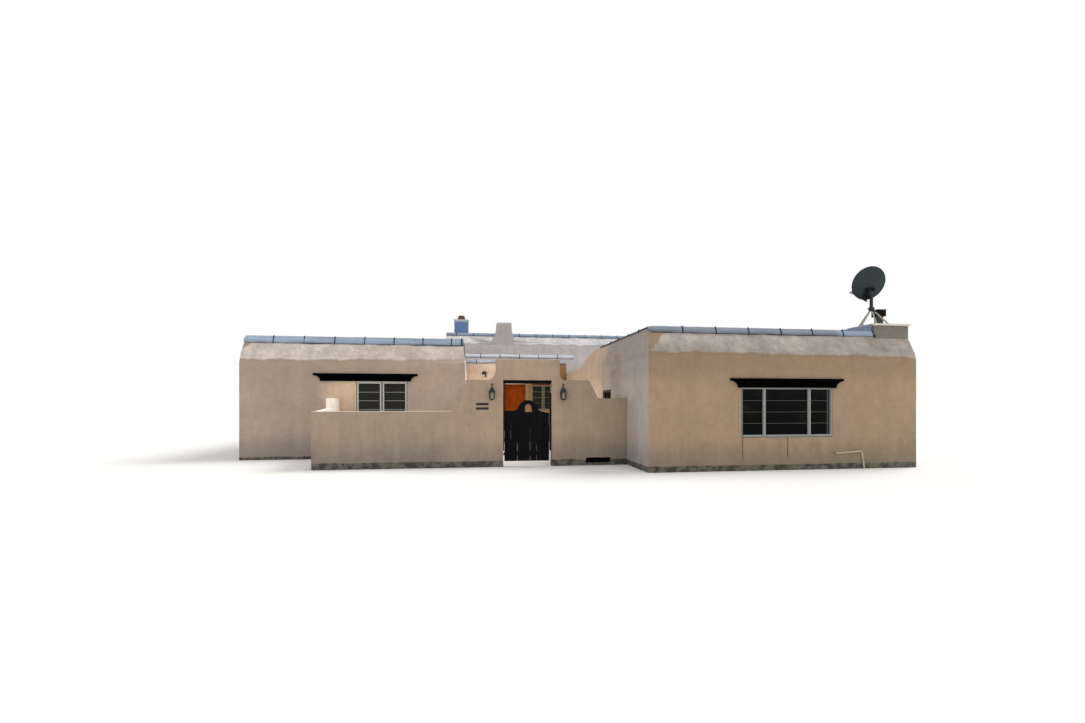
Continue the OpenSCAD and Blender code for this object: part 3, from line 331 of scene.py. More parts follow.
def stucco(name, wall, settings, shoulder=None, shoulder_z=None, strip_z=0.09, coarse=0.0,
           scratched=0.08, fringe=0.1, bare=None, tints=(), faces=(), side=None, drips=(),
           patch=None):
    """Hand-trowelled stucco, with a coarser shoulder above a wandering line and a bare foot.

    fringe is how much darker the wall is under the shoulder, which begins right of bare;
    the shoulder's lower edge gets a painted highlight over a thin painted shadow line.
    tints are (axis, start, end, colour) along the wall, some of them painted light. faces
    are (axis, way, low, high, colour, reach) and go by where the surface faces, within a
    reach in X: painted sunlight on faces turned to it, and dirt on tops. side is (near,
    far, start, end) for a wall that faces left: painted greyish shade near the front and
    warm bounce light further back. drips are (axis, place, top, width, line, halo), and a
    patch is (low x, high x, low z, high z, colour) of painted warm bounce light on a
    front. The wall grows darker and cooler towards the bottom."""
    f = Finish(name, roughness=0.93, specular_ior_level=0.2)
    place = f.place()
    x, y, z = f.split(place)
    axes, normal = (x, y, z), f.facing()
    clouds = f.grain(place, 0.45, 3)
    mottle = f.grain(place, 1.9, 4, 0.6)
    trowel = f.grain(place, 5.5, 5, 0.65)
    grit = f.grain(place, 60, 3, 0.7)
    runs = f.grain(place * (3.2, 3.2, 0.16), 1.0, 4, 0.6)
    scratches = f.grain(place * (13, 13, 1.1), 1.0, 3, 0.6)
    tone = 1
    for noise_field, share in ((clouds, 0.34), (mottle, 0.30), (trowel, 0.34), (grit, 0.26),
                               (runs, 0.16 + coarse * 0.4), (scratches, scratched)):
        tone = tone + (noise_field - 0.5) * share
    colour = wall
    for axis, low, high, tint in tints:
        colour = f.blend(f.step(axes[axis] + (clouds - 0.5) * 0.3, low, high), colour, tint)
    colour = f.blend(f.step(clouds, 0.45, 0.75, 0, 0.35), colour, scaled(wall, 1.06, 0.98, 0.88))
    relief = trowel + grit * 0.3
    # A patch of painted warm bounce light on a front
    if patch:
        x0, x1, z0, z1, new = patch
        front = f.step(normal[1], -0.3, -0.8)
        mask = f.step(x + (mottle - 0.5) * 0.5, x0 - 0.15, x0 + 0.45) * f.step(x, x1 + 0.02, x1)
        mask = mask * f.step(z + (mottle - 0.5) * 0.3, z0 - 0.2, z0 + 0.1) * front
        colour = f.blend(mask * f.step(z, z1 + 0.02, z1, 0, 0.9), colour, new)
    # Painted shade and bounce light on a wall that faces left, changing along Y
    if side:
        near, far, low, high = side
        along = f.blend(f.step(y + (mottle - 0.5) * 2.0, low, high), near, far)
        colour = f.blend(f.step(normal[0], -0.3, -0.75), colour, along)
    # Colour by where the surface faces: painted sunlight on faces turned to it, and dirt on tops
    for axis, way, low, high, tint, reach in faces:
        mask = f.step(normal[axis] * way, low, high)
        if reach:
            mask = mask * f.step(x, *reach)
        colour = f.blend(mask, colour, tint)
    if shoulder_z is not None:
        edge = z + (f.grain(place, 0.9, 4, 0.65) - 0.5) * 0.30 + (mottle - 0.5) * 0.14
        seen = f.step(normal[0], -0.75, -0.45)
        start = x - (z - shoulder_z) * 1.1 + (mottle - 0.5) * 0.5
        seen = seen * f.step(start, bare - 0.03, bare + 0.10)
        mask = f.step(edge, shoulder_z - 0.02, shoulder_z + 0.05) * seen
        under = f.step(edge, shoulder_z - 0.85, shoulder_z - 0.3, 0, fringe)
        strokes = f.grain(f.join((x - z) * 0.45, y, (x + z) * 1.5), 9, 4, 0.7)
        sweeps = f.grain(f.join(x * 0.7, y, (x + z * 3) * 0.8), 1.6, 3, 0.6)
        fleck = f.grain(place, 13, 4, 0.75) * 0.5 + strokes * 0.5
        pale = f.blend(f.step(fleck, 0.36, 0.64, 0, 0.85), scaled(shoulder, 1.10),
                       scaled(shoulder, 0.80))
        pale = f.blend(f.step(sweeps, 0.42, 0.68, 0, 0.6), pale, scaled(shoulder, 1.26))
        # A painted highlight along the shoulder's lower edge
        lip = f.step(edge, shoulder_z + 0.13, shoulder_z + 0.03, 0, 0.25)
        pale = f.blend(lip, pale, scaled(shoulder, 1.25))
        # A thin painted shadow line just under that edge
        under = under + f.step(edge, shoulder_z - 0.1, shoulder_z - 0.03, 0, 0.07)
        colour = f.blend(mask, colour * (1 - under), pale * (1 + (mottle - 0.5) * 0.6))
        relief = relief + mask * fleck * 1.8
    for axis, at, top, width, line, halo in drips:
        stray = (runs - 0.5) * 0.03 + (mottle - 0.5) * (width * 2.5)
        off = f.number("ABSOLUTE", axes[axis] - at + stray)
        down = f.step(z + (mottle - 0.5) * 0.5, 0.1, 0.45) * f.step(z, top + 0.01, top - 0.03) \
            * f.step(normal[1 - axis], -0.3, -0.8)
        broken = f.step(f.grain(place * (2, 2, 5), 1.0, 4, 0.7), 0.36, 0.6, 0.35, 1)
        soft = f.step(off, width, 0, 0, halo) * down * broken
        off = f.number("ABSOLUTE", axes[axis] - at + (runs - 0.5) * 0.03)
        thin = f.step(off, 0.019, 0.003, 0, line) * down * broken
        colour = f.blend(soft, colour, scaled(wall, 0.5))
        colour = f.blend(thin, colour, scaled(wall, 0.17, 0.13, 0.10))
    colour = colour * tone
    if strip_z:
        # Darker and cooler towards the bottom of the wall
        darker_low = f.step(z + (runs - 0.5) * 0.5 + (mottle - 0.5) * 0.25, 1.0, 0.2, 0, 0.9)
        colour = f.blend(darker_low, colour, (0.66, 0.73, 0.80), "MULTIPLY")
        foot = z + (f.grain(place, 1.6, 3) - 0.5) * 0.06
        bare_foot = f.step(foot, strip_z + 0.012, strip_z - 0.012)
        stones = f.blend(f.step(trowel, 0.4, 0.6), scaled(settings.footing, 0.6),
                         scaled(settings.footing, 1.5))
        colour = f.blend(bare_foot, colour, stones)
    return f.wear(base_color=colour, normal=f.bump(relief, 0.6, 0.014))


def felt(name, colour, lap, top_highlight, low_z=None, seam=None, shaded=None, paler=None):
    """Mineral-faced roofing felt: fine grit, wandering creases, chalk and a painted top highlight.

    Its lower edge, at low_z, gets painted shade, and shaded is the colour of the painted
    shade on the felt that faces left. paler is (start, end, colour) of paler felt towards
    the right."""
    f = Finish(name, roughness=0.9, specular_ior_level=0.2)
    place = f.place()
    x, _, z = f.split(place)
    normal = f.facing()
    patches = f.grain(place, 1.1, 4, 0.6)
    grit = f.grain(place, 140, 2, 0.8)
    creases = f.grain(place * (1.3, 1.3, 22), 1.0, 4, 0.6)
    chalk_and_highlight = f.step(f.grain(place, 5, 4), 0.5, 0.75, 0, 0.35)
    tone = 1 + (patches - 0.5) * 0.5 + (grit - 0.5) * 0.35 + (creases - 0.5) * 0.6
    own = f.blend(f.step(x, paler[0], paler[1]), colour, paler[2]) if paler else colour
    # Painted highlight on faces turned up
    base = f.blend(f.step(normal[2], 0.2, 0.8, 0, 0.55), own, top_highlight)
    base = f.blend(chalk_and_highlight, base, scaled(colour, 1.35))
    # Painted shade towards the lower edge, and a dark painted shadow line at the edge itself; the
    # lap colour serves as the shade
    if low_z:
        height = z + (patches - 0.5) * 0.05
        base = f.blend(f.step(height, low_z + 0.085, low_z + 0.03, 0, 0.32), base, lap)
        base = f.blend(f.step(height, low_z + 0.022, low_z + 0.008, 0, 0.85), base,
                       scaled(lap, 0.4))
    # Painted shade on the felt that faces left
    if shaded:
        base = f.blend(f.step(normal[0], -0.4, -0.8), base, shaded)
    base = base * tone
    relief = grit * 0.4 + patches
    if seam:
        line = f.ripple(x, seam)
        bitumen = f.step(line + (patches - 0.5) * 0.02, 0.035, 0.018)
        base = f.blend(bitumen, base, lap)
        relief = relief + f.step(line, 0.06, 0.05)
    return f.wear(base_color=base, normal=f.bump(relief, 0.5, 0.006))


def weathered_paint(name, colour, under, wear=0.25, roughness=0.6, scale=8.0, metallic=0.0,
                    grain_along=None, specular=0.3, above=None):
    """Old paint or metal: faded patches, worn specks and fine streaks.

    above is (height, colour) for what stands higher than that, and grain_along is the axis
    that the streaks run along."""
    f = Finish(name, metallic=metallic, specular_ior_level=specular)
    place = f.place()
    if above:
        height = f.split(place)[2]
        colour = f.blend(f.step(height, above[0], above[0] + 0.01), colour, above[1])
    if grain_along:
        place = place * [0.06 if axis == grain_along else 1 for axis in "XYZ"]
    faded = f.grain(place, scale, 4, 0.6)
    specks = f.grain(place, scale * 9, 3, 0.7)
    tone = 1 + (faded - 0.5) * 0.5 + (specks - 0.5) * 0.3
    worn = f.step(specks * 0.6 + faded * 0.4, 0.56, 0.68, 0, wear)
    base = f.blend(worn, colour, under) * tone
    return f.wear(base_color=base, roughness=f.step(faded, 0.2, 0.8, roughness - 0.12,
                                                    min(1, roughness + 0.15)),
                  normal=f.bump(specks, 0.35, 0.002))


def varnished_wood(name, colour):
    """Varnished wood with upright grain."""
    f = Finish(name, coat_weight=0.03, coat_roughness=0.3, specular_ior_level=0.08)
    lined = f.place() * (14, 14, 0.9)
    rings = f.grain(lined, 1.6, 5, 0.65)
    pores = f.grain(lined, 12, 3, 0.7)
    base = f.blend(f.step(rings, 0.3, 0.7), scaled(colour, 0.62), scaled(colour, 1.3, 1.35, 1.4))
    base = base * (1 + (pores - 0.5) * 0.35)
    return f.wear(base_color=base, roughness=f.step(pores, 0.3, 0.7, 0.35, 0.55),
                  normal=f.bump(pores + rings, 0.25, 0.002))


def dark_glass(name, colour, alpha, paler=None):
    """Dark window glass with a film of dust; paler is (start, end, colour) towards the left."""
    f = Finish(name, alpha=alpha, specular_ior_level=0.04)
    place = f.place()
    dust = f.grain(place, 2.2, 4, 0.6)
    base = colour
    if paler:
        base = f.blend(f.step(f.split(place)[0], paler[0], paler[1]), base, paler[2])
    base = f.blend(f.step(dust, 0.45, 0.8, 0, 0.1), base, (0.08, 0.08, 0.075))
    return f.wear(base_color=base, roughness=f.step(dust, 0.3, 0.8, 0.03, 0.12))


def clay_tiles(name, colour):
    """Square clay tiles with pale joints."""
    f = Finish(name, specular_ior_level=0.4)
    place = f.place()
    x, y, _ = f.split(place)
    joint = f.number("MINIMUM", f.ripple(x, 0.33), f.ripple(y, 0.33))
    grout = f.step(joint, 0.006, 0.003)
    patches = f.grain(place, 3, 4)
    base = f.blend(grout, f.blend(patches, scaled(colour, 0.75), scaled(colour, 1.3)),
                   (0.3, 0.28, 0.25))
    return f.wear(base_color=base, roughness=f.step(patches, 0.3, 0.7, 0.45, 0.7),
                  normal=f.bump(1 - grout, 0.6, 0.003))


# Meshes


def coat(mesh, finish):
    mesh.materials.clear()
    mesh.materials.append(finish)


def add_object(name, mesh, finish=None):
    made = bpy.data.objects.new(name, mesh)
    bpy.context.scene.collection.objects.link(made)
    if finish is not None:
        coat(mesh, finish)
    return made


def to_object(name, bm, finish=None, smooth=None):
    """Turns a bmesh into an object, its faces outwards and smooth up to an angle."""
    mesh = bpy.data.meshes.new(name)
    bmesh.ops.recalc_face_normals(bm, faces=bm.faces)
    bm.to_mesh(mesh)
    bm.free()
    if smooth:
        mesh.shade_smooth()
        mesh.set_sharp_from_angle(angle=math.radians(smooth))
    return add_object(name, mesh, finish)


def baked(piece):
    """Applies a piece's modifiers for good and takes them off."""
    depsgraph = bpy.context.evaluated_depsgraph_get()
    depsgraph.update()
    mesh = bpy.data.meshes.new_from_object(piece.evaluated_get(depsgraph))
    piece.modifiers.clear()
    piece.data = mesh
    return piece


def join_pieces(name, pieces):
    """Joins objects that sit at the origin into one, keeping their materials."""
    bm = bmesh.new()
    slots = []
    for piece in pieces:
        start = len(bm.faces)
        bm.from_mesh(piece.data)
        bm.faces.ensure_lookup_table()
        finishes = list(piece.data.materials)
        for face in bm.faces[start:]:
            finish = finishes[face.material_index] if finishes else None
            if finish not in slots:
                slots.append(finish)
            face.material_index = slots.index(finish)
    mesh = bpy.data.meshes.new(name)
    bm.to_mesh(mesh)
    bm.free()
    for finish in slots:
        mesh.materials.append(finish)
    for piece in pieces:
        bpy.data.objects.remove(piece)
    return add_object(name, mesh)


def box(bm, low, high, bevel=0.0, turn=None):
    """Adds a box by two corners, its edges bevelled, turned by a matrix."""
    corners = bmesh.ops.create_cube(bm, size=1)["verts"]
    low, high = Vector(low), Vector(high)
    bmesh.ops.scale(bm, vec=high - low, verts=corners)
    bmesh.ops.translate(bm, vec=(high + low) / 2, verts=corners)
    if bevel:
        edges = list({e for v in corners for e in v.link_edges})
        out = bmesh.ops.bevel(bm, geom=edges, offset=bevel, segments=2, profile=0.5,
                              affect="EDGES", clamp_overlap=True)
        corners = list({v for f in out["faces"] for v in f.verts}
                       | {v for v in corners if v.is_valid})
    if turn is not None:
        bmesh.ops.transform(bm, matrix=turn, verts=corners)


def post(bm, x, y, half, low_z, high_z, bevel=0.0):
    """Adds an upright square post or plate about a point of the plan."""
    box(bm, (x - half, y - half, low_z), (x + half, y + half, high_z), bevel)


def four(x, y, off):
    """The four corners of a square about a point of the plan."""
    return [(x + sx * off, y + sy * off) for sx in (-1, 1) for sy in (-1, 1)]


def border(bm, outer, inner, near, far, bevel=0.0):
    """Adds four boxes between two upright rectangles, each (x low, z low, x high, z high)."""
    (a, b, c, d), (e, f, g, h) = outer, inner
    for xa, za, xb, zb in ((a, b, e, d), (g, b, c, d), (e, b, g, f), (e, h, g, d)):
        box(bm, (xa, near, za), (xb, far, zb), bevel)


def stitch(bm, rings):
    """Skins rings of vertices, of which some may be single points, and closes both ends."""
    for one, two in zip(rings, rings[1:]):
        for k in range(max(len(one), len(two))):
            if len(one) == 1:
                bm.faces.new((one[0], two[k], two[k - 1]))
            elif len(two) == 1:
                bm.faces.new((one[k - 1], one[k], two[0]))
            else:
                bm.faces.new((one[k - 1], one[k], two[k], two[k - 1]))
    for ring in (rings[0], rings[-1]):
        if len(ring) > 1:
            bm.faces.new(ring)


def lathe(bm, at, profile, segments=24, level=False):
    """Turns an outline of radius and height round an upright line, or round a level one
    that runs back, and closes it."""
    rings = []
    for radius, height in profile:
        ring = []
        for k in range(segments if radius else 1):
            angle = 2 * math.pi * k / segments
            a, b = radius * math.cos(angle), radius * math.sin(angle)
            ring.append(bm.verts.new(Vector(at) + Vector((a, height, b) if level
                                                         else (a, b, height))))
        rings.append(ring)
    stitch(bm, rings)


def tube(bm, start, end, radius, segments=12, end_radius=None):
    """Adds a round bar from one point to another."""
    start, end = Vector(start), Vector(end)
    along = end - start
    turn = along.to_track_quat("Z", "Y").to_matrix().to_4x4()
    turn.translation = (start + end) / 2
    bmesh.ops.create_cone(bm, cap_ends=True, segments=segments, radius1=radius,
                          radius2=radius if end_radius is None else end_radius,
                          depth=along.length, matrix=turn)


def outline_slab(bm, points, low_y, high_y):
    """Adds an outline in X and Z as a slab along Y."""
    front = [bm.verts.new((x, low_y, z)) for x, z in points]
    face = bm.faces.new(front)
    out = bmesh.ops.extrude_face_region(bm, geom=[face])
    moved = [v for v in out["geom"] if isinstance(v, bmesh.types.BMVert)]
    bmesh.ops.translate(bm, vec=(0, high_y - low_y, 0), verts=moved)


def dome(bm, at, radius, segments=10):
    """Adds the round head of a bolt or a screw."""
    bmesh.ops.create_uvsphere(bm, u_segments=segments, v_segments=6, radius=radius,
                              matrix=Matrix.Translation(at))


def pyramid(bm, at, foot, top, depth):
    """Adds a square block with sloped sides, by half its diagonal at the foot and the top."""
    bmesh.ops.create_cone(bm, cap_ends=True, segments=4, radius1=foot, radius2=top,
                          depth=depth, matrix=Matrix.Translation(at)
                          @ Matrix.Rotation(math.pi / 4, 4, "Z"))


def shape(name, finish, smooth, *parts):
    """One object from boxes, bars and turned outlines, each its maker and its numbers."""
    bm = bmesh.new()
    for maker, *numbers in parts:
        maker(bm, *numbers)
    return to_object(name, bm, finish, smooth)


def quarter_turns(x, y, turns):
    """Quarter turns about an upright line through a point of the plan."""
    return Matrix.Translation((x, y, 0)) @ Matrix.Rotation(turns * math.pi / 2, 4, "Z")


def clean_copy(mesh):
    """A merged copy of a mesh, with its flat faces joined again."""
    bm = bmesh.new()
    bm.from_mesh(mesh)
    bmesh.ops.remove_doubles(bm, verts=bm.verts, dist=1e-5)
    bmesh.ops.dissolve_limit(bm, angle_limit=math.radians(0.3), verts=bm.verts, edges=bm.edges)
    return bm


def softened(name, nodes, finish, rounding):
    """Joins copies of CAD nodes into one skin and rounds its sharp edges.

    rounding takes an edge's middle and direction and gives its radius, or 0 to leave it."""
    parts = [to_object("%s_%s" % (name, node), clean_copy(frame["nodes"][node].data))
             for node in nodes]
    skin = parts[0]
    for other in parts[1:]:
        joint = skin.modifiers.new("join", "BOOLEAN")
        joint.operation, joint.solver, joint.object = "UNION", "EXACT", other
    baked(skin)
    for other in parts[1:]:
        bpy.data.objects.remove(other)
    bm = clean_copy(skin.data)
    radii = {}
    for edge in bm.edges:
        if len(edge.link_faces) == 2 and edge.calc_face_angle(0) > math.radians(12):
            a, b = edge.verts[0].co, edge.verts[1].co
            radius = rounding((a + b) / 2, (b - a).normalized())
            if radius:
                radii.setdefault(round(radius, 4), []).append(edge)
    for radius in sorted(radii, reverse=True):
        edges = [e for e in radii[radius] if e.is_valid]
        bmesh.ops.bevel(bm, geom=edges, offset=radius, segments=4, profile=0.5,
                        affect="EDGES", clamp_overlap=True, harden_normals=False)
    bpy.data.objects.remove(skin)
    skin = to_object(name, bm, finish, 40)
    for node in nodes:
        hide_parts(node)
    return skin


def give(node, finish):
    """Puts a finish on a CAD node that keeps its shape."""
    coat(frame["nodes"][node].data, finish)


def hand_over(piece, body, node=None):
    """A finished piece hides the CAD node it replaces, if one is given, and rides on its body."""
    if node:
        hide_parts(node)
    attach(piece, body)


# Geometry Nodes


def piece_tree(name, build, **inputs):
    """The tree of that name, built once: a piece and named inputs go in, one mesh comes out."""
    tree = bpy.data.node_groups.get(name)
    if tree is None:
        tree = bpy.data.node_groups.new(name, "GeometryNodeTree")
        for way in ("INPUT", "OUTPUT"):
            tree.interface.new_socket("Piece", in_out=way, socket_type="NodeSocketGeometry")
        for word, kind in {**inputs, "Finish": "Material"}.items():
            tree.interface.new_socket(word, in_out="INPUT", socket_type="NodeSocket" + kind)
        given = tree.nodes.new("NodeGroupInput").outputs
        made = build(given, lambda *node: add_node(tree, *node).outputs)
        real = add_node(tree, "GeometryNodeRealizeInstances", None, {"Geometry": made[0]})
        coated = add_node(tree, "GeometryNodeSetMaterial", None,
                          {"Geometry": real.outputs[0], "Material": given["Finish"]})
        add_node(tree, "NodeGroupOutput", None, {"Piece": coated.outputs[0]})
    return tree


def repeat_nodes(given, add):
    """Repeats the piece Count times by Step, with a small seeded Shake."""
    line = add("GeometryNodeMeshLine", None, {"Count": given["Count"], "Offset": given["Step"]})
    shake = add("FunctionNodeRandomValue", {"data_type": "FLOAT_VECTOR"},
                {0: (-1, -1, -1), 1: (1, 1, 1), "Seed": given["Seed"]})
    spread = add("ShaderNodeVectorMath", {"operation": "SCALE"},
                 {0: shake[0], "Scale": given["Shake"]})
    nudged = add("GeometryNodeSetPosition", None, {"Geometry": line[0], "Offset": spread[0]})
    return add("GeometryNodeInstanceOnPoints", None,
               {"Points": nudged[0], "Instance": given["Piece"]})


def slot_nodes(given, add):
    """Cuts Count slots of size Slot through the piece, from First on by Step."""
    line = add("GeometryNodeMeshLine", None, {
        "Count": given["Count"], "Start Location": given["First"], "Offset": given["Step"]})
    slot = add("GeometryNodeMeshCube", None, {"Size": given["Slot"]})
    placed = add("GeometryNodeInstanceOnPoints", None, {"Points": line[0], "Instance": slot[0]})
    real = add("GeometryNodeRealizeInstances", None, {"Geometry": placed[0]})
    return add("GeometryNodeMeshBoolean", {"operation": "DIFFERENCE", "solver": "EXACT"},
               {"Mesh 1": given["Piece"], "Mesh 2": real[0]})


def grown(piece, tree, **values):
    """Runs a piece through a tree with these inputs, and leaves one plain mesh."""
    rows = piece.modifiers.new("grown", "NODES")
    rows.node_group = tree
    for item in tree.interface.items_tree:
        if item.in_out == "INPUT" and item.name in values:
            rows[item.identifier] = values[item.name]
    baked(piece)
    coat(piece.data, values["Finish"])
    return piece


def repeated(piece, count, step, finish, shake=0.0, seed=1):
    """The piece count times, each a step on, as one plain mesh."""
    tree = piece_tree("repeat_piece", repeat_nodes, Count="Int", Step="Vector", Shake="Float",
                      Seed="Int")
    return grown(piece, tree, Count=count, Step=step, Shake=shake, Seed=seed, Finish=finish)


def slotted(piece, count, first, step, slot, finish):
    """The slab with a row of slots cut through it, as one plain mesh."""
    tree = piece_tree("cut_slots", slot_nodes, Count="Int", First="Vector", Step="Vector",
                      Slot="Vector")
    return grown(piece, tree, Count=count, First=first, Step=step, Slot=slot, Finish=finish)


# Roofing that hangs over the parapets


class Rim:
    """The outer top edge of a parapet, as samples that a felt strip is draped over."""

    def __init__(self, corners, runs, top, spacing=0.11):
        """corners are plan points; each run between two of them is (outward, lean, breadth,
        hang), where hang is the share of the usual drop that the felt hangs down there."""
        self.samples, self.top, self.length = [], top, 0.0
        for i, (outward, lean, breadth, hang) in enumerate(runs):
            a, b = Vector(corners[i]), Vector(corners[i + 1])
            length = (b - a).length
            count = max(2, round(length / spacing))
            for k in range(count + 1):
                if i and k == 0:
                    continue
                n, o, w = Vector(outward), Vector(outward) * lean, Vector(outward) * breadth
                if k == count and i + 1 < len(runs):
                    other, lean_b, breadth_b, hang_b = runs[i + 1]
                    n = n + Vector(other)
                    o = o + Vector(other) * lean_b
                    w = w + Vector(other) * breadth_b
                    hang = (hang + hang_b) / 2
                self.samples.append((a.lerp(b, k / count), n, o, w,
                                     self.length + length * k / count, hang))
            self.length += length

    def point(self, sample, back, drop, out, up):
        at, n, o, w = sample[:4]
        p = at - w * back + o * drop + n * out
        return (p.x, p.y, self.top - drop + up)


def crown(hang):
    """How thick the felt lies on the parapet, more where it hangs further down."""
    return 0.026 * max(0.4, hang ** 3)


def felt_section(roof, s, hang, seed):
    """The felt's cross-section: from the parapet's back, over the edge, and down."""
    def wander(rate, size, lane):
        return noise.noise(Vector((s * rate, lane * 7.3, seed * 3.1))) * size
    drop = hang * (roof.drop + wander(1.9, roof.wave, 1) + wander(6.5, roof.wave * 0.35, 2))
    roll = roof.roll * (1 + wander(1.3, 0.6, 3))
    top = crown(hang) + wander(2.7, 0.007, 4) * min(1, hang)
    return [(1.0, 0, 0, -0.003), (1.0, 0, 0, 0.014), (0.6, 0, 0, top * 0.75), (0.2, 0, 0, top),
            (0.0, 0, 0.008, top * 0.9), (0.0, drop * 0.13, roll * 0.9, 0),
            (0.0, drop * 0.37, roll * 1.15, 0), (0.0, drop * 0.67, roll * 0.95, 0),
            (0.0, drop * 0.92, roll * 0.6, 0), (0.0, drop, roll * 0.62, 0),
            (0.0, drop + 0.004, roll * 0.2, 0), (0.0, drop, -0.004, 0), (0.0, 0.0, -0.004, -0.004)]


def over_rim(name, rim, sections, finish=None, smooth=None):
    """The skin over a rim, with one cross-section at each of its samples."""
    bm = bmesh.new()
    stitch(bm, [[bm.verts.new(rim.point(sample, *entry)) for entry in section]
                for sample, section in zip(rim.samples, sections)])
    return to_object(name, bm, finish, smooth)


def draped(name, corners, runs, top, roof, finish, seed):
    """Felt draped over the top edge of a parapet."""
    rim = Rim(corners, runs, top)
    sections = [felt_section(roof, *sample[4:], seed) for sample in rim.samples]
    return over_rim(name, rim, sections, finish, 50)


def felt_laps(name, start, way, run, top, first, count, roof, finish, pitch=None, width=None):
    """Laps across a straight run of roofing, one sheet's width apart."""
    start, along = Vector(start), Vector(way)
    at, hang, half = start + along * first, run[3], (width or roof.lap_width) / 2
    rim = Rim([at - along * half, at + along * half], [run], top, spacing=half)
    sections = []
    for k in range(len(rim.samples)):
        proud, drop = (0.002, 0.013, 0.002)[min(k, 2)], hang * roof.drop + 0.008
        rise = crown(hang) + 0.008 + proud
        sections.append([
            (0.5, 0, 0, 0.012), (0.5, 0, 0, rise * 0.8), (0.1, 0, 0, rise),
            (0.0, 0, 0.014 + proud, rise * 0.95), (0.0, 0.2 * drop, roof.roll + 0.006 + proud, 0),
            (0.0, 0.6 * drop, roof.roll + 0.004 + proud, 0),
            (0.0, drop, roof.roll * 0.7 + proud, 0), (0.0, drop, 0.0, 0), (0.0, 0.0, 0.0, 0.0)])
    step = along * (pitch or roof.pitch)
    return repeated(over_rim(name, rim, sections), count, (step.x, step.y, 0), finish, 0.004,
                    count)


FRONT, BACK, LEFT, RIGHT = (0, -1), (0, 1), (-1, 0), (1, 0)
# Thickness of the wings' walls and of the raised blocks' walls
WALL, THIN_WALL = 0.3, 0.25
# How far a parapet stands back from the wall below it, on the fronts and elsewhere
FRONT_IN, END_IN = 0.25, 0.09
# Height of the sloped shoulders
SLOPE = {"left": 0.67, "right": 0.69, "main": 0.40, "upper": 0.55}
# How much further the felt hangs down on the left wing's front
LEFT_HANG = 1.25
# Where the first lap stands on each front
FIRST_LAP = {"left": -8.58, "right": 2.886, "middle": -2.95}


class HOUSE_OT_walls(bpy.types.Operator):
    """Rounds the stucco walls of the wings, the entrance and the raised blocks"""
    bl_idname = "house.walls"
    bl_label = "House walls"

    def execute(self, context):
        walls = context.scene.house_walls
        groups = (
            ("left_wing", ["left_front_wall", "left_side_wall", "left_court_wall",
                           "left_rear_wall"], walls.left, "left", 0.09,
             dict(shoulder=walls.shoulder_left, bare=-9.75, fringe=0.06,
                  # Painted warm bounce light from the courtyard: the wall grows paler towards it
                  tints=[(0, -6.8, -3.6, scaled(walls.left, 1.32))],
                  # Painted sunlight on the faces turned right
                  faces=[(0, 1, 0.3, 0.75, walls.painted_sunlight, None)],
                  drips=[(0, -6.02, 1.16, 0.09, 0, 0.35), (0, -4.55, 1.16, 0.09, 0, 0.35)],
                  # A pool of painted warm bounce light under the left lintel
                  patch=(-7.1, -6.06, 1.55, 2.43, walls.patch))),
            ("right_wing", ["right_front_wall", "right_side_wall", "right_court_wall",
                            "right_rear_wall"], walls.right, "right", 0.15,
             dict(shoulder=walls.shoulder_right, bare=1.84, fringe=0.17,
                  # Painted greyish shade on the side towards the courtyard, and warm bounce light
                  # further back
                  side=(walls.right_side, walls.court_side_bounce, -6.2, -4.3),
                  drips=[(0, 4.42, 0.87, 0.05, 0.9, 0.45), (0, 5.685, 0.87, 0.05, 0.9, 0.3),
                         (1, -6.7, 3.25, 0.65, 0, 0.34), (1, -5.1, 3.3, 0.25, 0, 0.2),
                         (1, -8.3, 3.1, 0.4, 0, 0.12)])),
            ("entrance_walls", ["main_front_left", "main_front_right", "main_front_head",
                                "main_rear_wall"], walls.entrance, "main", 0.09,
             dict(tints=[(0, -0.6, 0.2, walls.ochre)])),
            ("upper_block", ["upper_walls"], walls.raised, "upper", 0.0,
             dict(shoulder=walls.shoulder_upper, bare=-9, coarse=0.1)),
        )
        for name, nodes, colour, slope, strip, looks in groups:
            boxes = [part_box(n) for n in nodes]
            low = Vector([min(b[0][i] for b in boxes) for i in range(3)])
            high = Vector([max(b[1][i] for b in boxes) for i in range(3)])
            foot = high.z - SLOPE[slope]
            finish = stucco("stucco_" + name, colour, walls, strip_z=strip,
                            shoulder_z=foot if "shoulder" in looks else None, **looks)

            def rounding(middle, along, low=low, high=high, foot=foot):
                side = min(abs(middle.x - low.x), abs(middle.x - high.x))
                end = min(abs(middle.y - low.y), abs(middle.y - high.y))
                if abs(along.z) > 0.5 and side < 0.1 and end < 0.28:
                    return walls.corner
                if middle.z > high.z - 0.02:
                    return 0
                if abs(middle.z - foot) < 0.01 and end < 0.01:
                    return 0.14
                if min(side, end) < 0.002 and 0.2 < middle.z < foot - 0.05:
                    return walls.arris
                return 0
            skin = softened(name, nodes, finish, rounding)
            hand_over(skin, "house")
        finish = stucco("stucco_middle", walls.raised, walls, strip_z=0)
        skin = softened("middle_block", ["middle_walls"], finish,
                        lambda middle, along: walls.arris if abs(along.z) > 0.5 else 0)
        hand_over(skin, "house")
        return {"FINISHED"}


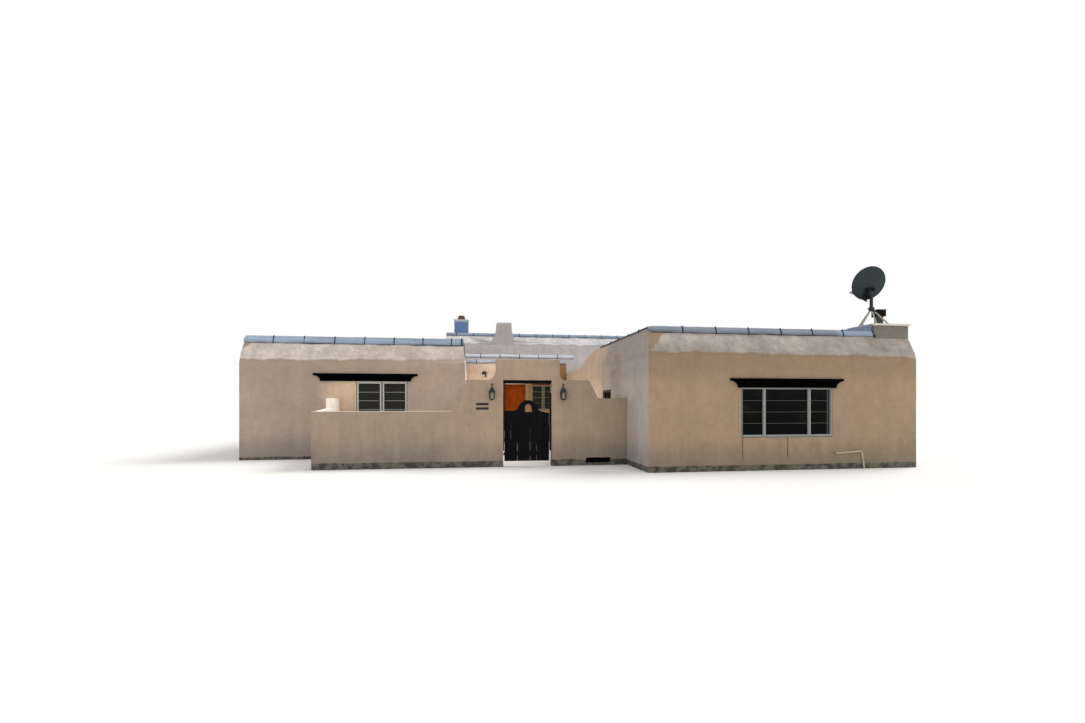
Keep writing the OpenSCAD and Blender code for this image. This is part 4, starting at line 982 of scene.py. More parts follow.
class HOUSE_OT_courtyard(bpy.types.Operator):
    """Rounds the courtyard walls and the head over the gateway"""
    bl_idname = "house.courtyard"
    bl_label = "Courtyard walls"

    def execute(self, context):
        walls = context.scene.house_walls
        nodes = ["low_wall", "gate_wall_left", "gate_wall_right", "gate_head", "return_wall"]
        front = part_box("low_wall")[0].y
        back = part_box("low_wall")[1].y
        tints = [(0, -3.7, -2.9, walls.gateway), (0, -0.4, 0.1, walls.court),
                 # Painted sunlight on the return wall
                 (1, back + 0.01, back + 0.05, walls.painted_sunlit_return)]
        finish = stucco("stucco_courtyard", walls.court, walls, strip_z=0.17, tints=tints,
                        scratched=0.2,
                        # Painted sunlight on the rounded tops left of the gateway; dirt on the tops
                        # right of it
                        faces=[(2, 1, 0.10, 0.2, walls.painted_sunlight, (-2.9, -3.05)),
                               (2, 1, 0.02, 0.30, walls.dirt, (-0.25, -0.1))])

        def rounding(middle, along):
            face = min(abs(middle.y - front), abs(middle.y - back)) < 0.002
            if middle.z > 1.5 and (face or middle.y > back) and abs(along.z) < 0.99:
                return walls.coping
            if abs(along.z) > 0.9 and face and middle.z > 0.4:
                return walls.coping * 0.4
            return 0
        hand_over(softened("courtyard_walls", nodes, finish, rounding), "house")
        self.screen(context.scene.house_fittings.iron, (front + back) / 2)
        return {"FINISHED"}

    def screen(self, colour, y):
        """Tilted iron blades in the drain slot at the wall's foot, painted near-black to stand in
        for the shade inside the slot.
        """
        # Near-black blades: painted shade inside the slot
        iron = weathered_paint("slot_shade_iron", scaled(colour, 0.5), paint(60, 44, 34), 0.3,
                               0.7, 20, specular=0.06)
        tilt = Matrix.Translation((1.055, y, 0.078)) @ Matrix.Rotation(math.radians(50), 4, "X")
        blade = shape("screen_blades", None, None,
                      (box, (-0.359, -0.013, -0.0015), (0.359, 0.013, 0.0015), 0.0, tilt))
        blades = repeated(blade, 9, (0, 0, 0.0168), iron)
        hand_over(blades, "house")


class HOUSE_OT_roofing(bpy.types.Operator):
    """Drapes felt over the parapets, with a lap at each sheet's edge"""
    bl_idname = "house.roofing"
    bl_label = "Roofing"

    def execute(self, context):
        roof = context.scene.house_roofing
        foot = {name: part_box(node)[1].z - roof.drop for name, node in (
            ("right", "right_front_wall"), ("left", "left_front_wall"),
            ("main", "main_front_right"), ("middle", "middle_walls"), ("upper", "upper_walls"))}
        foot["left"] -= roof.drop * (LEFT_HANG - 1)
        # The right wing's felt: a painted highlight on its top, and painted shade on the side
        # towards the courtyard
        right = felt("felt_right", roof.right, roof.lap, roof.right_top_highlight, foot["right"], None,
                     roof.shaded, (7.2, 7.4, roof.left))
        left, main, middle, upper = [
            felt("felt_" + name, getattr(roof, name), roof.lap, roof.chalk_and_highlight, foot[name])
            for name in ("left", "main", "middle", "upper")]
        flap = felt("felt_flap", roof.flap, roof.lap, roof.chalk_and_highlight)
        lap = felt("felt_lap", scaled(roof.lap, 0.5), roof.lap, roof.lap)
        flat = felt("felt_flat", roof.flat, roof.lap, roof.flat, None, roof.pitch)
        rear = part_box("left_rear_wall")[1].y - END_IN

        def run(side, slope, hang=1.0, inset=END_IN, wall=WALL):
            return (side, inset / SLOPE[slope], wall - inset, hang)

        def keep(node, *pieces):
            for piece in pieces:
                hand_over(piece, "house", node)

        def lapped(node, top, *rows):
            keep(node, *[felt_laps(*row[:4], top, *row[4:6], roof, lap, *row[6:]) for row in rows])

        low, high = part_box("left_front_wall")
        x0, x1, y0 = low.x + END_IN, high.x - END_IN, low.y + FRONT_IN
        front = run(FRONT, "left", LEFT_HANG, FRONT_IN)
        side_l, side_r, back = [run(side, "left") for side in (LEFT, RIGHT, BACK)]
        keep("left_cap", draped(
            "left_felt", [(x1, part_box("main_front_left")[0].y), (x1, y0), (x0, y0), (x0, rear),
                          (high.x - WALL, rear)], [side_r, front, side_l, back], high.z, roof,
            left, 1))
        lapped(None, high.z,
               ("left_front_laps", (x0, y0), RIGHT, front, FIRST_LAP["left"] - x0, 7, 0.909),
               ("left_end_lap", (x1 - 0.03, y0), RIGHT, front, 0, 1, None, 0.05),
               ("left_side_laps", (x0, y0), BACK, side_l, 0.7, 15),
               ("left_rear_laps", (x0, rear), RIGHT, back, 0.5, 7),
               ("left_court_laps", (x1, y0), BACK, side_r, 0.6, 6))

        low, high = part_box("right_front_wall")
        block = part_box("chimney_block")
        x0, x1, y0 = low.x + END_IN, high.x - END_IN, low.y + FRONT_IN
        front = run(FRONT, "right", 1.0, FRONT_IN)
        side_l = run(LEFT, "right", 0.3)
        side_r, back = [run(side, "right") for side in (RIGHT, BACK)]
        block_x, block_back, ramp = block[0].x + 0.03, block[1].y, low.y + 4.95
        felt_end, flap_foot, flap_end = block_x + 0.05, block_x - 0.98, block_x - 0.035
        keep("right_cap",
             draped("right_felt", [(x0, ramp), (x0, y0), (felt_end, y0)], [side_l, front],
                    high.z, roof, right, 2),
             draped("right_rear_felt", [(x1, block_back), (x1, rear), (low.x + WALL, rear)],
                    [side_r, back], high.z, roof, right, 3))
        lapped("right_cap", high.z,
               ("right_front_laps", (x0, y0), RIGHT, front, FIRST_LAP["right"] - x0, 6),
               ("right_court_laps", (x0, y0), BACK, side_l, 0.7, 5),
               ("right_side_laps", (x1, block_back), BACK, side_r, 0.5, 19),
               ("right_rear_laps", (low.x + WALL, rear), RIGHT, back, 0.5, 8))
        keep("right_cap", shape("right_flap", flap, None, (
            outline_slab, [(flap_foot, high.z + 0.01), (flap_end, high.z + 0.01),
                           (flap_end, block[1].z - 0.02)], y0 - 0.02, low.y + WALL)))
        lapped("right_cap", high.z,
               ("right_end_lap", (felt_end - 0.035, y0), RIGHT, front, 0, 1, None, 0.085))

        low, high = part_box("main_front_right")
        left_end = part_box("main_front_left")[0].x
        front, back, y0 = run(FRONT, "main"), run(BACK, "main"), low.y + END_IN
        keep("main_cap",
             draped("entrance_felt", [(left_end + 0.002, y0), (high.x - 0.002, y0)], [front],
                    high.z, roof, main, 4),
             draped("main_rear_felt", [(left_end - WALL, rear), (high.x + WALL, rear)], [back],
                    high.z, roof, main, 5))
        lapped(None, high.z,
               ("entrance_laps", (left_end, y0), RIGHT, front, 0.45, 5),
               ("main_rear_laps", (left_end, rear), RIGHT, back, 0.4, 5))

        low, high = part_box("middle_walls")
        front, side_l, side_r = [(side, 0.0, THIN_WALL, 1) for side in (FRONT, LEFT, RIGHT)]
        keep(None, draped("middle_felt", [(high.x, high.y), (high.x, low.y), (low.x, low.y),
                                          (low.x, high.y)], [side_r, front, side_l], high.z,
                          roof, middle, 6))
        lapped(None, high.z,
               ("middle_front_laps", (low.x, low.y), RIGHT, front,
                FIRST_LAP["middle"] - low.x, 6, 0.93))
        keep("middle_roof", self.sheet("middle_sheet", low, high, flat))

        low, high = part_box("upper_walls")
        stack_low, stack_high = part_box("centre_chimney")
        x0, x1, y0, y1 = low.x + END_IN, high.x - END_IN, low.y + END_IN, high.y - END_IN
        front, side_r, back, side_l = [run(side, "upper", wall=THIN_WALL)
                                       for side in (FRONT, RIGHT, BACK, LEFT)]
        keep(None, draped(
            "upper_felt", [(stack_high.x - 0.06, y0), (x1, y0), (x1, y1), (x0, y1), (x0, y0),
                           (stack_low.x + 0.33, y0)], [front, side_r, back, side_l, front],
            high.z, roof, upper, 7))
        lapped(None, high.z,
               ("upper_left_laps", (x0, y0), RIGHT, front, 0.5, 2),
               ("upper_right_laps", (stack_high.x, y0), RIGHT, front, 0.315, 7),
               ("upper_rear_laps", (x0, y1), RIGHT, back, 0.6, 10))
        keep("upper_roof", self.sheet("upper_sheet", Vector((x0, y0, 0)),
                                      Vector((x1, y1, high.z)), flat))
        for node in ("left_roof", "right_roof", "main_roof"):
            give(node, flat)
        return {"FINISHED"}

    def sheet(self, name, low, high, finish):
        """A flat roof's sheet, hollowed a little by the rain that stands on it."""
        bm = bmesh.new()
        bmesh.ops.create_grid(bm, x_segments=24, y_segments=16, size=0.5)
        for v in bm.verts:
            dip = 0.012 * noise.noise(Vector((v.co.x * 5, v.co.y * 5, 2.0)))
            v.co = Vector((low.x + 0.1 + (high.x - low.x - 0.2) * (v.co.x + 0.5),
                           low.y + 0.1 + (high.y - low.y - 0.2) * (v.co.y + 0.5),
                           high.z + 0.012 + dip * (1 - 4 * max(abs(v.co.x), abs(v.co.y)) ** 2)))
        out = bmesh.ops.extrude_face_region(bm, geom=list(bm.faces))
        moved = [v for v in out["geom"] if isinstance(v, bmesh.types.BMVert)]
        bmesh.ops.translate(bm, vec=(0, 0, -0.02), verts=moved)
        return to_object(name, bm, finish, 30)


# Windows

# Turn of the wall in degrees, middle of the sill, width, height, shares of the lights
WINDOWS = (
    ("front_right", 0, (5.67, -9.5, 0.89), 2.51, 1.23, (1, 2.1, 1)),
    ("front_left", 0, (-5.285, -5.1, 1.16), 1.52, 1.25, (1, 1)),
    ("hall", 0, (0.815, 1.3, 1.415), 1.10, 1.15, (1, 1)),
    ("court", -90, (1.895, -5.65, 1.16), 0.90, 1.00, (1,)),
    ("left_side", -90, (-9.485, 2.2, 1.16), 1.52, 1.20, (1, 1)),
    ("right_side_front", 90, (9.485, -5.1, 1.16), 1.52, 1.20, (1, 1)),
    ("right_side_rear", 90, (9.485, 4.4, 1.16), 1.52, 1.20, (1, 1)),
    ("rear_left", 180, (-6.08, 9.5, 1.16), 1.52, 1.20, (1, 1)),
    ("rear_middle", 180, (-0.39, 9.5, 1.16), 1.52, 1.20, (1, 1)),
    ("rear_right", 180, (5.69, 9.5, 1.16), 1.52, 1.20, (1, 1)),
)
# Widths of a frame's left side, foot, right side and head, how far each laps over the wall,
# the width of the sash and of what stands between two lights
FITS = {
    "front_right": ((0.006, 0.031, 0.008, 0.010), (0.002, 0.016, 0.024, 0.034), 0.003, 0.064),
    "front_left": ((0.004, 0.070, 0.004, 0.004), (0.002, 0.002, 0.002, 0.024), 0.042, 0.043),
    "hall": ((0.020, 0.030, 0.020, 0.012), (0.004, 0.010, 0.004, 0.010), 0.035, 0.050),
    "plain": ((0.012, 0.035, 0.012, 0.012), (0.010, 0.016, 0.010, 0.016), 0.045, 0.045),
}
# Depth of a frame, its thickness on the wall, how deep a pane stands and how thick it is,
# and the width of the painted shadow line round a frame
FRAME_D, FLANGE_T, GLASS_D, GLASS_T, SHADOW_LINE = 0.13, 0.006, 0.05, 0.006, 0.018


class HOUSE_OT_windows(bpy.types.Operator):
    """Makes the window frames with their sashes and pane bars, and the glass"""
    bl_idname = "house.windows"
    bl_label = "Windows"

    def execute(self, context):
        sizes = context.scene.house_windows
        bare = paint(96, 92, 84)
        plain = weathered_paint("frame_paint", sizes.frame, bare, 0.35, 0.6, 6)
        pale = weathered_paint("left_frame_paint", sizes.left_frame, bare, 0.3, 0.6, 6)
        cream = weathered_paint("hall_frame_paint", sizes.hall_frame, bare, 0.3, 0.6, 6)
        dark = weathered_paint("side_frame_paint", sizes.dark_frame, bare, 0.2, 0.6, 6)
        finishes = {"front_left": pale, "hall": cream, "court": dark}
        bars = weathered_paint("pane_bars", sizes.bars, bare, 0.3, 0.6, 12)
        # Painted shadow lines round the frames, and painted shade in the gaps between two lights
        shadow_line = weathered_paint("frame_shadow_line", sizes.shadow, bare, 0.3, 0.8, 12, specular=0.05)
        joinery, panes = [], []
        for row in WINDOWS:
            finish = finishes.get(row[0], plain)
            made, glass = self.frame(sizes, row, finish,
                                     bars if row[0] == "front_right" else finish, shadow_line)
            joinery.append(made)
            panes.append(glass)
        frames = join_pieces("window_joinery", joinery)
        hand_over(frames, "house", "window_frames")
        glass = join_pieces("window_panes", panes)
        coat(glass.data, dark_glass("window_glass", sizes.glass, 0.92,
                                    (1.7, 1.6, paint(46, 47, 36))))
        hand_over(glass, "house", "window_glass")
        return {"FINISHED"}

    def frame(self, sizes, row, finish, bar_finish, shadow_line):
        """One window's joinery and its panes, made at the origin and turned into its wall."""
        name, degrees, place, width, height, shares = row
        sides, laps, sash, between = FITS.get(name, FITS["plain"])
        half, back = width / 2, FRAME_D
        x0, z0, x1, z1 = sides[0] - half, sides[1], half - sides[2], height - sides[3]
        bm, panes, dark, thin = bmesh.new(), bmesh.new(), bmesh.new(), bmesh.new()
        left, foot, right, head = -half - laps[0], -laps[1], half + laps[2], height + laps[3]
        border(bm, (-half, 0, half, height), (x0, z0, x1, z1), 0, back)
        border(bm, (left, foot, right, head), (x0, z0, x1, z1), -FLANGE_T, 0, 0.002)
        # Painted shadow lines beside and under the flange
        for xa, za, xb, zb in ((left - SHADOW_LINE, foot - SHADOW_LINE, left, head),
                               (right, foot - SHADOW_LINE, right + SHADOW_LINE, head),
                               (left, foot - SHADOW_LINE, right, foot)):
            box(dark, (xa, -FLANGE_T * 0.5, za), (xb, 0, zb), 0.001)
        unit = (x1 - x0 - (len(shares) - 1) * between) / sum(shares)
        x, bars = x0, []
        for k, share in enumerate(shares):
            xa, xb = x, x + unit * share
            box(panes, (xa, GLASS_D, z0), (xb, GLASS_D + GLASS_T, z1))
            light = (xa + sash, z0 + sash, xb - sash, z1 - sash)
            border(bm, (xa, z0, xb, z1), light, 0.012, back, 0.001)
            bars.append(light)
            x = xb + between
            last = k == len(shares) - 1
            if len(shares) == 3 and last:
                box(thin, (xb - 0.075, GLASS_D - 0.02, z0), (xb - 0.05, GLASS_D, z1), 0.003)
            elif len(shares) == 3:
                box(bm, (xb, -FLANGE_T, z0), (x, back, z1), 0.005)
            # The recess between two lights is painted as shade
            elif not last:
                box(dark, (xb, 0.03, z0), (x, back, z1))
        pieces = [to_object(name + "_joinery", bm, finish),
                  to_object(name + "_putty", dark, shadow_line),
                  to_object(name + "_stile", thin, bar_finish)]
        for k, (xa, za, xb, zb) in enumerate(bars):
            step = (zb - za) / sizes.rows
            bar = shape("%s_bars_%d" % (name, k), None, None,
                        (box, (xa, GLASS_D - 0.02, za + step - sizes.bar / 2),
                         (xb, GLASS_D + 0.02, za + step + sizes.bar / 2), 0.002))
            pieces.append(repeated(bar, sizes.rows - 1, (0, 0, step), bar_finish))
        whole = [join_pieces(name + "_frame", pieces), to_object(name + "_panes", panes)]
        turn = Matrix.Translation(place) @ Matrix.Rotation(math.radians(degrees), 4, "Z")
        for piece in whole:
            piece.data.transform(turn)
        return whole


# Gate, lintels and front door


class HOUSE_OT_lintels(bpy.types.Operator):
    """Finishes the black lintels and the posts and beam of the gateway"""
    bl_idname = "house.lintels"
    bl_label = "Lintels and gate posts"

    def execute(self, context):
        black = context.scene.house_gate.black
        worn = paint(34, 32, 30)
        finish = weathered_paint("lintel_black", scaled(black, 0.3), worn, 0.08, 0.7, 5,
                                 grain_along="X", specular=0.0)
        hand_over(softened("lintel_timbers", ["lintels"], finish, lambda m, a: 0.006),
                  "house")
        finish = weathered_paint("post_black", black, worn, 0.2, 0.7, 5, grain_along="Z",
                                 specular=0.06)
        hand_over(softened("gate_frame", ["gate_posts"], finish, lambda m, a: 0.004),
                  "house")
        return {"FINISHED"}


class HOUSE_OT_gate(bpy.types.Operator):
    """Builds the courtyard gate from boards on rails, with its latch and straps"""
    bl_idname = "house.gate"
    bl_label = "Gate"
    # Strips behind the gaps: which gap from the left, and their foot and top
    COVERS = ((1, 0.15, 0.71), (1, 1.23, 1.46), (2, 0.62, 1.46), (3, 0.15, 1.46),
              (4, 1.04, 1.46), (5, 0.57, 1.46), (6, 0.15, 1.46))
    # Heights of the rails, and of the cut that leaves the arched head
    RAILS, HEAD = (0.34, 1.21), 1.405

    def execute(self, context):
        sizes = context.scene.house_gate
        wood = weathered_paint("gate_black", sizes.black, paint(46, 43, 40), 0.25, 0.7, 6,
                               grain_along="Z", specular=0.06)
        iron = weathered_paint("gate_iron", context.scene.house_fittings.iron,
                               paint(84, 52, 36), 0.3, 0.5, 30, metallic=0.6)
        low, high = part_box("gate")
        pitch, behind = (high.x - low.x) / sizes.boards, low.y + sizes.board_t
        boards = slotted(to_object("gate_boards", self.slab(low.y, behind, low, high)),
                         sizes.boards - 1, (low.x + pitch, low.y, 1.0), (pitch, 0, 0),
                         (sizes.gap, 0.2, 3.0), wood)
        edge = boards.modifiers.new("edge", "BEVEL")
        edge.width, edge.segments, edge.limit_method = 0.0025, 1, "ANGLE"
        baked(boards)
        rails = shape("gate_rails", wood, None, *[
            (box, (low.x + 0.012, behind, z - sizes.rail_h / 2),
             (high.x - 0.012, high.y, z + sizes.rail_h / 2), 0.004) for z in self.RAILS])
        arch = self.slab(behind, high.y, low, high)
        cut = bmesh.ops.bisect_plane(arch, geom=[*arch.verts, *arch.edges, *arch.faces],
                                     plane_co=(0, 0, self.HEAD), plane_no=(0, 0, 1),
                                     clear_inner=True)
        rim = [e for e in cut["geom_cut"] if isinstance(e, bmesh.types.BMEdge)]
        bmesh.ops.contextual_create(arch, geom=rim)
        head = to_object("gate_head_rail", arch, wood)
        x, y, z = -0.415, low.y, 1.02
        pull = shape("gate_latch", iron, None,
                     (box, (x - 0.02, y - 0.005, z - 0.07), (x + 0.02, y, z + 0.07), 0.002),
                     (tube, (x, y - 0.004, z + 0.03), (x, y - 0.03, z + 0.03), 0.007),
                     (tube, (x, y - 0.026, z + 0.035), (x, y - 0.026, z - 0.05), 0.006))
        covers = shape("gate_covers", wood, None, *[
            (box, (low.x + gap * pitch - 0.015, behind - 0.001, foot),
             (low.x + gap * pitch + 0.015, behind + 0.008, top), 0.001)
            for gap, foot, top in self.COVERS])
        leaf = join_pieces("gate_leaf", [boards, rails, head, covers])
        hand_over(leaf, "gate", "gate")
        hand_over(pull, "gate")
        for k, z in enumerate(self.RAILS):
            bolt = shape("strap_bolts_%d" % k, None, None,
                         (dome, (low.x + 0.09, high.y + 0.006, z), 0.009))
            hand_over(repeated(bolt, 4, (0.11, 0, 0), iron), "gate")
        give("gate_straps", iron)
        give("gate_pins", iron)
        return {"FINISHED"}

    def slab(self, front_y, back_y, low, high):
        """The gate's outline as a slab between two depths, its arch worked a little further."""
        bm = clean_copy(frame["nodes"]["gate"].data)
        middle, sides = (low.x + high.x) / 2 + 0.03, 1.47
        for v in bm.verts:
            v.co.y = front_y if abs(v.co.y - low.y) < abs(v.co.y - high.y) else back_y
            off, up = v.co.x - middle, v.co.z - sides
            if up < -0.01:
                continue
            if abs(off) < 0.18 and up < 0.25:
                v.co.x = middle + 0.008 + off * 0.87
                v.co.z += 0.03 * max(0, 1 - up / 0.04)
            elif off < 0:
                v.co.z += 0.065 * max(0, 1 - up / 0.12)
            else:
                v.co.z += 0.035 * max(0, 1 - up / 0.12) * min(1, (high.x - v.co.x) / 0.16)
        return bm


class HOUSE_OT_front_door(bpy.types.Operator):
    """Builds the panelled front door with its knob, and finishes its frame and hinges"""
    bl_idname = "house.front_door"
    bl_label = "Front door"

    def execute(self, context):
        sizes = context.scene.house_door
        wood = varnished_wood("door_varnish", sizes.wood)
        low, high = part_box("front_door")
        bm = bmesh.new()
        xa, xb, sunk = low.x + sizes.stile, high.x - sizes.stile, 0.006
        foot, split, lock, head = low.z + 0.22, low.z + 0.82, 0.16, high.z - 0.13
        border(bm, (low.x, low.z, high.x, high.z), (xa, foot, xb, head), low.y, high.y, 0.003)
        box(bm, (xa, low.y, split), (xb, high.y, split + lock), 0.003)
        for za, zb in ((foot, split), (split + lock, head)):
            box(bm, (xa, low.y + sunk, za), (xb, high.y - sunk, zb))
            self.moulding(bm, xa, xb, za, zb, low.y, sunk, 1)
            self.moulding(bm, xa, xb, za, zb, high.y, sunk, -1)
        hand_over(to_object("door_leaf", bm, wood), "front_door", "front_door")
        brass = weathered_paint("old_brass", sizes.brass, paint(70, 54, 34), 0.4, 0.35, 40,
                                metallic=0.9)
        bm = bmesh.new()
        x, z = high.x - 0.07, low.z + 0.95
        for y, way in ((low.y, -1), (high.y, 1)):
            tube(bm, (x, y, z), (x, y + way * 0.006, z), 0.032, 24)
            tube(bm, (x, y + way * 0.005, z), (x, y + way * 0.035, z), 0.01, 16)
            ball = bmesh.ops.create_uvsphere(bm, u_segments=20, v_segments=12, radius=0.027)
            bmesh.ops.transform(bm, verts=ball["verts"], matrix=Matrix.Translation(
                (x, y + way * 0.047, z)) @ Matrix.Diagonal((1, 0.75, 1, 1)))
        hand_over(to_object("door_knobs", bm, brass, 40), "front_door")
        give("door_knuckles", brass)
        give("door_pins", brass)
        trim = weathered_paint("door_trim_stain", sizes.trim, paint(90, 70, 52), 0.25, 0.6, 8,
                               grain_along="Z")
        hand_over(softened("door_casing", ["door_frame"], trim, lambda m, a: 0.003),
                  "house")
        # Dark trim paint: the strip left of the door frame is painted shadow; a dark strip also
        # runs over the hall window
        stain = weathered_paint("dark_trim_and_painted_shade", paint(96, 44, 20), paint(70, 44, 30), 0.35, 0.6,
                                8, grain_along="Z", specular=0.1)
        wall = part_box("main_front_left")[0].y
        low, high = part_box("door_frame")
        trims = shape("door_side_trim", stain, None,
                      (box, (low.x - 0.07, wall - 0.015, low.z),
                       (low.x + 0.03, wall, high.z + 0.03), 0.003),
                      (box, (0.31, wall - 0.02, 2.575), (1.32, wall, 2.655), 0.004))
        hand_over(trims, "house")
        return {"FINISHED"}

    def moulding(self, bm, xa, xb, za, zb, y, depth, way):
        """A raised field with sloped margins inside a panel's opening, closed behind."""
        rings = []
        for inset, down in ((0.0, depth + 0.004), (0.0, 0.0), (0.020, depth * 0.7),
                            (0.032, depth), (0.050, depth * 0.9), (0.105, depth * 0.2)):
            x0, x1, z0, z1 = xa + inset, xb - inset, za + inset, zb - inset
            rings.append([bm.verts.new((x, y + way * down, z))
                          for x, z in ((x0, z0), (x1, z0), (x1, z1), (x0, z1))])
        stitch(bm, rings)


# Lights, plates, dish, flue, vent, chimneys, pipe, floor


class HOUSE_OT_lanterns(bpy.types.Operator):
    """Builds the gate lanterns, the door light and the blank plates"""
    bl_idname = "house.lanterns"
    bl_label = "Lanterns and plates"

    def execute(self, context):
        colours = context.scene.house_fittings
        iron = weathered_paint("lantern_iron", colours.iron, paint(70, 66, 62), 0.25, 0.45, 25)
        panes = dark_glass("lantern_panes", paint(128, 118, 104), 0.3)
        white = weathered_paint("shade_glass", colours.shade, paint(190, 184, 168), 0.4, 0.35, 12)
        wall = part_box("gate_wall_left")[0].y
        for name, x in (("left", -1.935), ("right", 0.035)):
            self.lantern(name, x, wall, iron, panes, white)
        low, high = Vector((-2.025, 1.15, 2.93)), Vector((-1.795, 1.30, 3.19))
        x = (low.x + high.x) / 2
        bracket = shape(
            "door_light_bracket", iron, 40,
            (box, (x - 0.05, high.y - 0.02, low.z + 0.03), (x + 0.05, high.y, high.z), 0.006),
            (box, (x + 0.05, high.y - 0.03, low.z), (high.x, high.y - 0.01, high.z - 0.02), 0.006),
            (lathe, (x, low.y + 0.075, low.z), [(0.0, 0.24), (0.03, 0.235), (0.075, 0.2),
                                                (0.098, 0.15), (0.1, 0.12), (0.0, 0.125)]))
        hand_over(bracket, "house")
        shade = shape("door_light_shade", white, 50, (
            lathe, (x, low.y + 0.076, low.z), [(0.03, 0.13), (0.05, 0.125), (0.06, 0.10),
                                               (0.062, 0.06), (0.052, 0.025), (0.03, 0.004),
                                               (0.0, 0.0)]))
        hand_over(shade, "house")
        low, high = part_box("name_plates")
        plate_h = 0.06
        plate = weathered_paint("plate_paint", colours.plate, paint(96, 84, 70), 0.35, 0.6, 30)
        plates = shape("blank_plates", plate, None, *[
            (box, (low.x, low.y, z), (high.x, high.y, z + plate_h), 0.004)
            for z in (low.z, high.z - plate_h)])
        hand_over(plates, "house", "name_plates")
        screw = shape("plate_screws", None, None,
                      (dome, (low.x + 0.015, low.y, low.z + plate_h / 2), 0.005))
        screws = repeated(screw, 2, (high.x - low.x - 0.03, 0, 0), iron)
        other = screws.data.copy()
        other.transform(Matrix.Translation((0, 0, high.z - low.z - plate_h)))
        screws = join_pieces("plate_screws", [screws, add_object("plate_screws_top", other)])
        hand_over(screws, "house")
        return {"FINISHED"}

    def lantern(self, name, x, wall, iron, panes, white):
        """A four-sided lantern that widens upwards, under a pointed roof with a knob."""
        y, base, sill, eaves, foot, head = wall - 0.085, 1.83, 1.86, 2.037, 0.064, 0.078
        bars = [(tube, (*a, sill), (*b, eaves), 0.007, 6)
                for a, b in zip(four(x, y, foot), four(x, y, head))]
        lantern = shape(
            "lantern_" + name, iron, 35,
            (box, (x - 0.03, wall - 0.012, 2.01), (x + 0.03, wall, 2.15), 0.004),
            (tube, (x, wall - 0.01, 2.08), (x, wall - 0.05, 2.12), 0.009),
            (tube, (x, wall - 0.05, 2.12), (x, y, 2.165), 0.009),
            *bars,
            (post, x, y, 0.082, eaves, eaves + 0.013, 0.003),
            (pyramid, (x, y, base + 0.015), 0.05, 0.092, 0.03),
            (pyramid, (x, y, eaves + 0.05), 0.122, 0.076, 0.076),
            (pyramid, (x, y, eaves + 0.113), 0.088, 0.03, 0.052),
            (tube, (x, y, 2.17), (x, y, 2.24), 0.010, 12),
            (lathe, (x, y, 2.225), [(0.0, 0.0), (0.014, 0.004), (0.026, 0.018), (0.026, 0.036),
                                    (0.014, 0.054), (0.0, 0.064)], 16))
        hand_over(lantern, "house", "wall_lights" if name == "left" else None)
        bm = bmesh.new()
        for turns in range(4):
            spin = quarter_turns(x, y, turns)
            stitch(bm, [[bm.verts.new(spin @ Vector((side * half * share, back - half, z)))
                         for side, half, z in ((-1, foot, sill), (1, foot, sill),
                                               (1, head, eaves), (-1, head, eaves))]
                        for share, back in ((1, 0), (0.96, 0.003))])
        hand_over(to_object("lantern_panes_" + name, bm, panes), "house")
        candle = shape("lantern_candle_" + name, white, 40, (
            lathe, (x, y, base + 0.025), [(0.026, 0.0), (0.026, 0.15), (0.022, 0.17),
                                          (0.010, 0.192), (0.0, 0.196)], 16))
        hand_over(candle, "house")


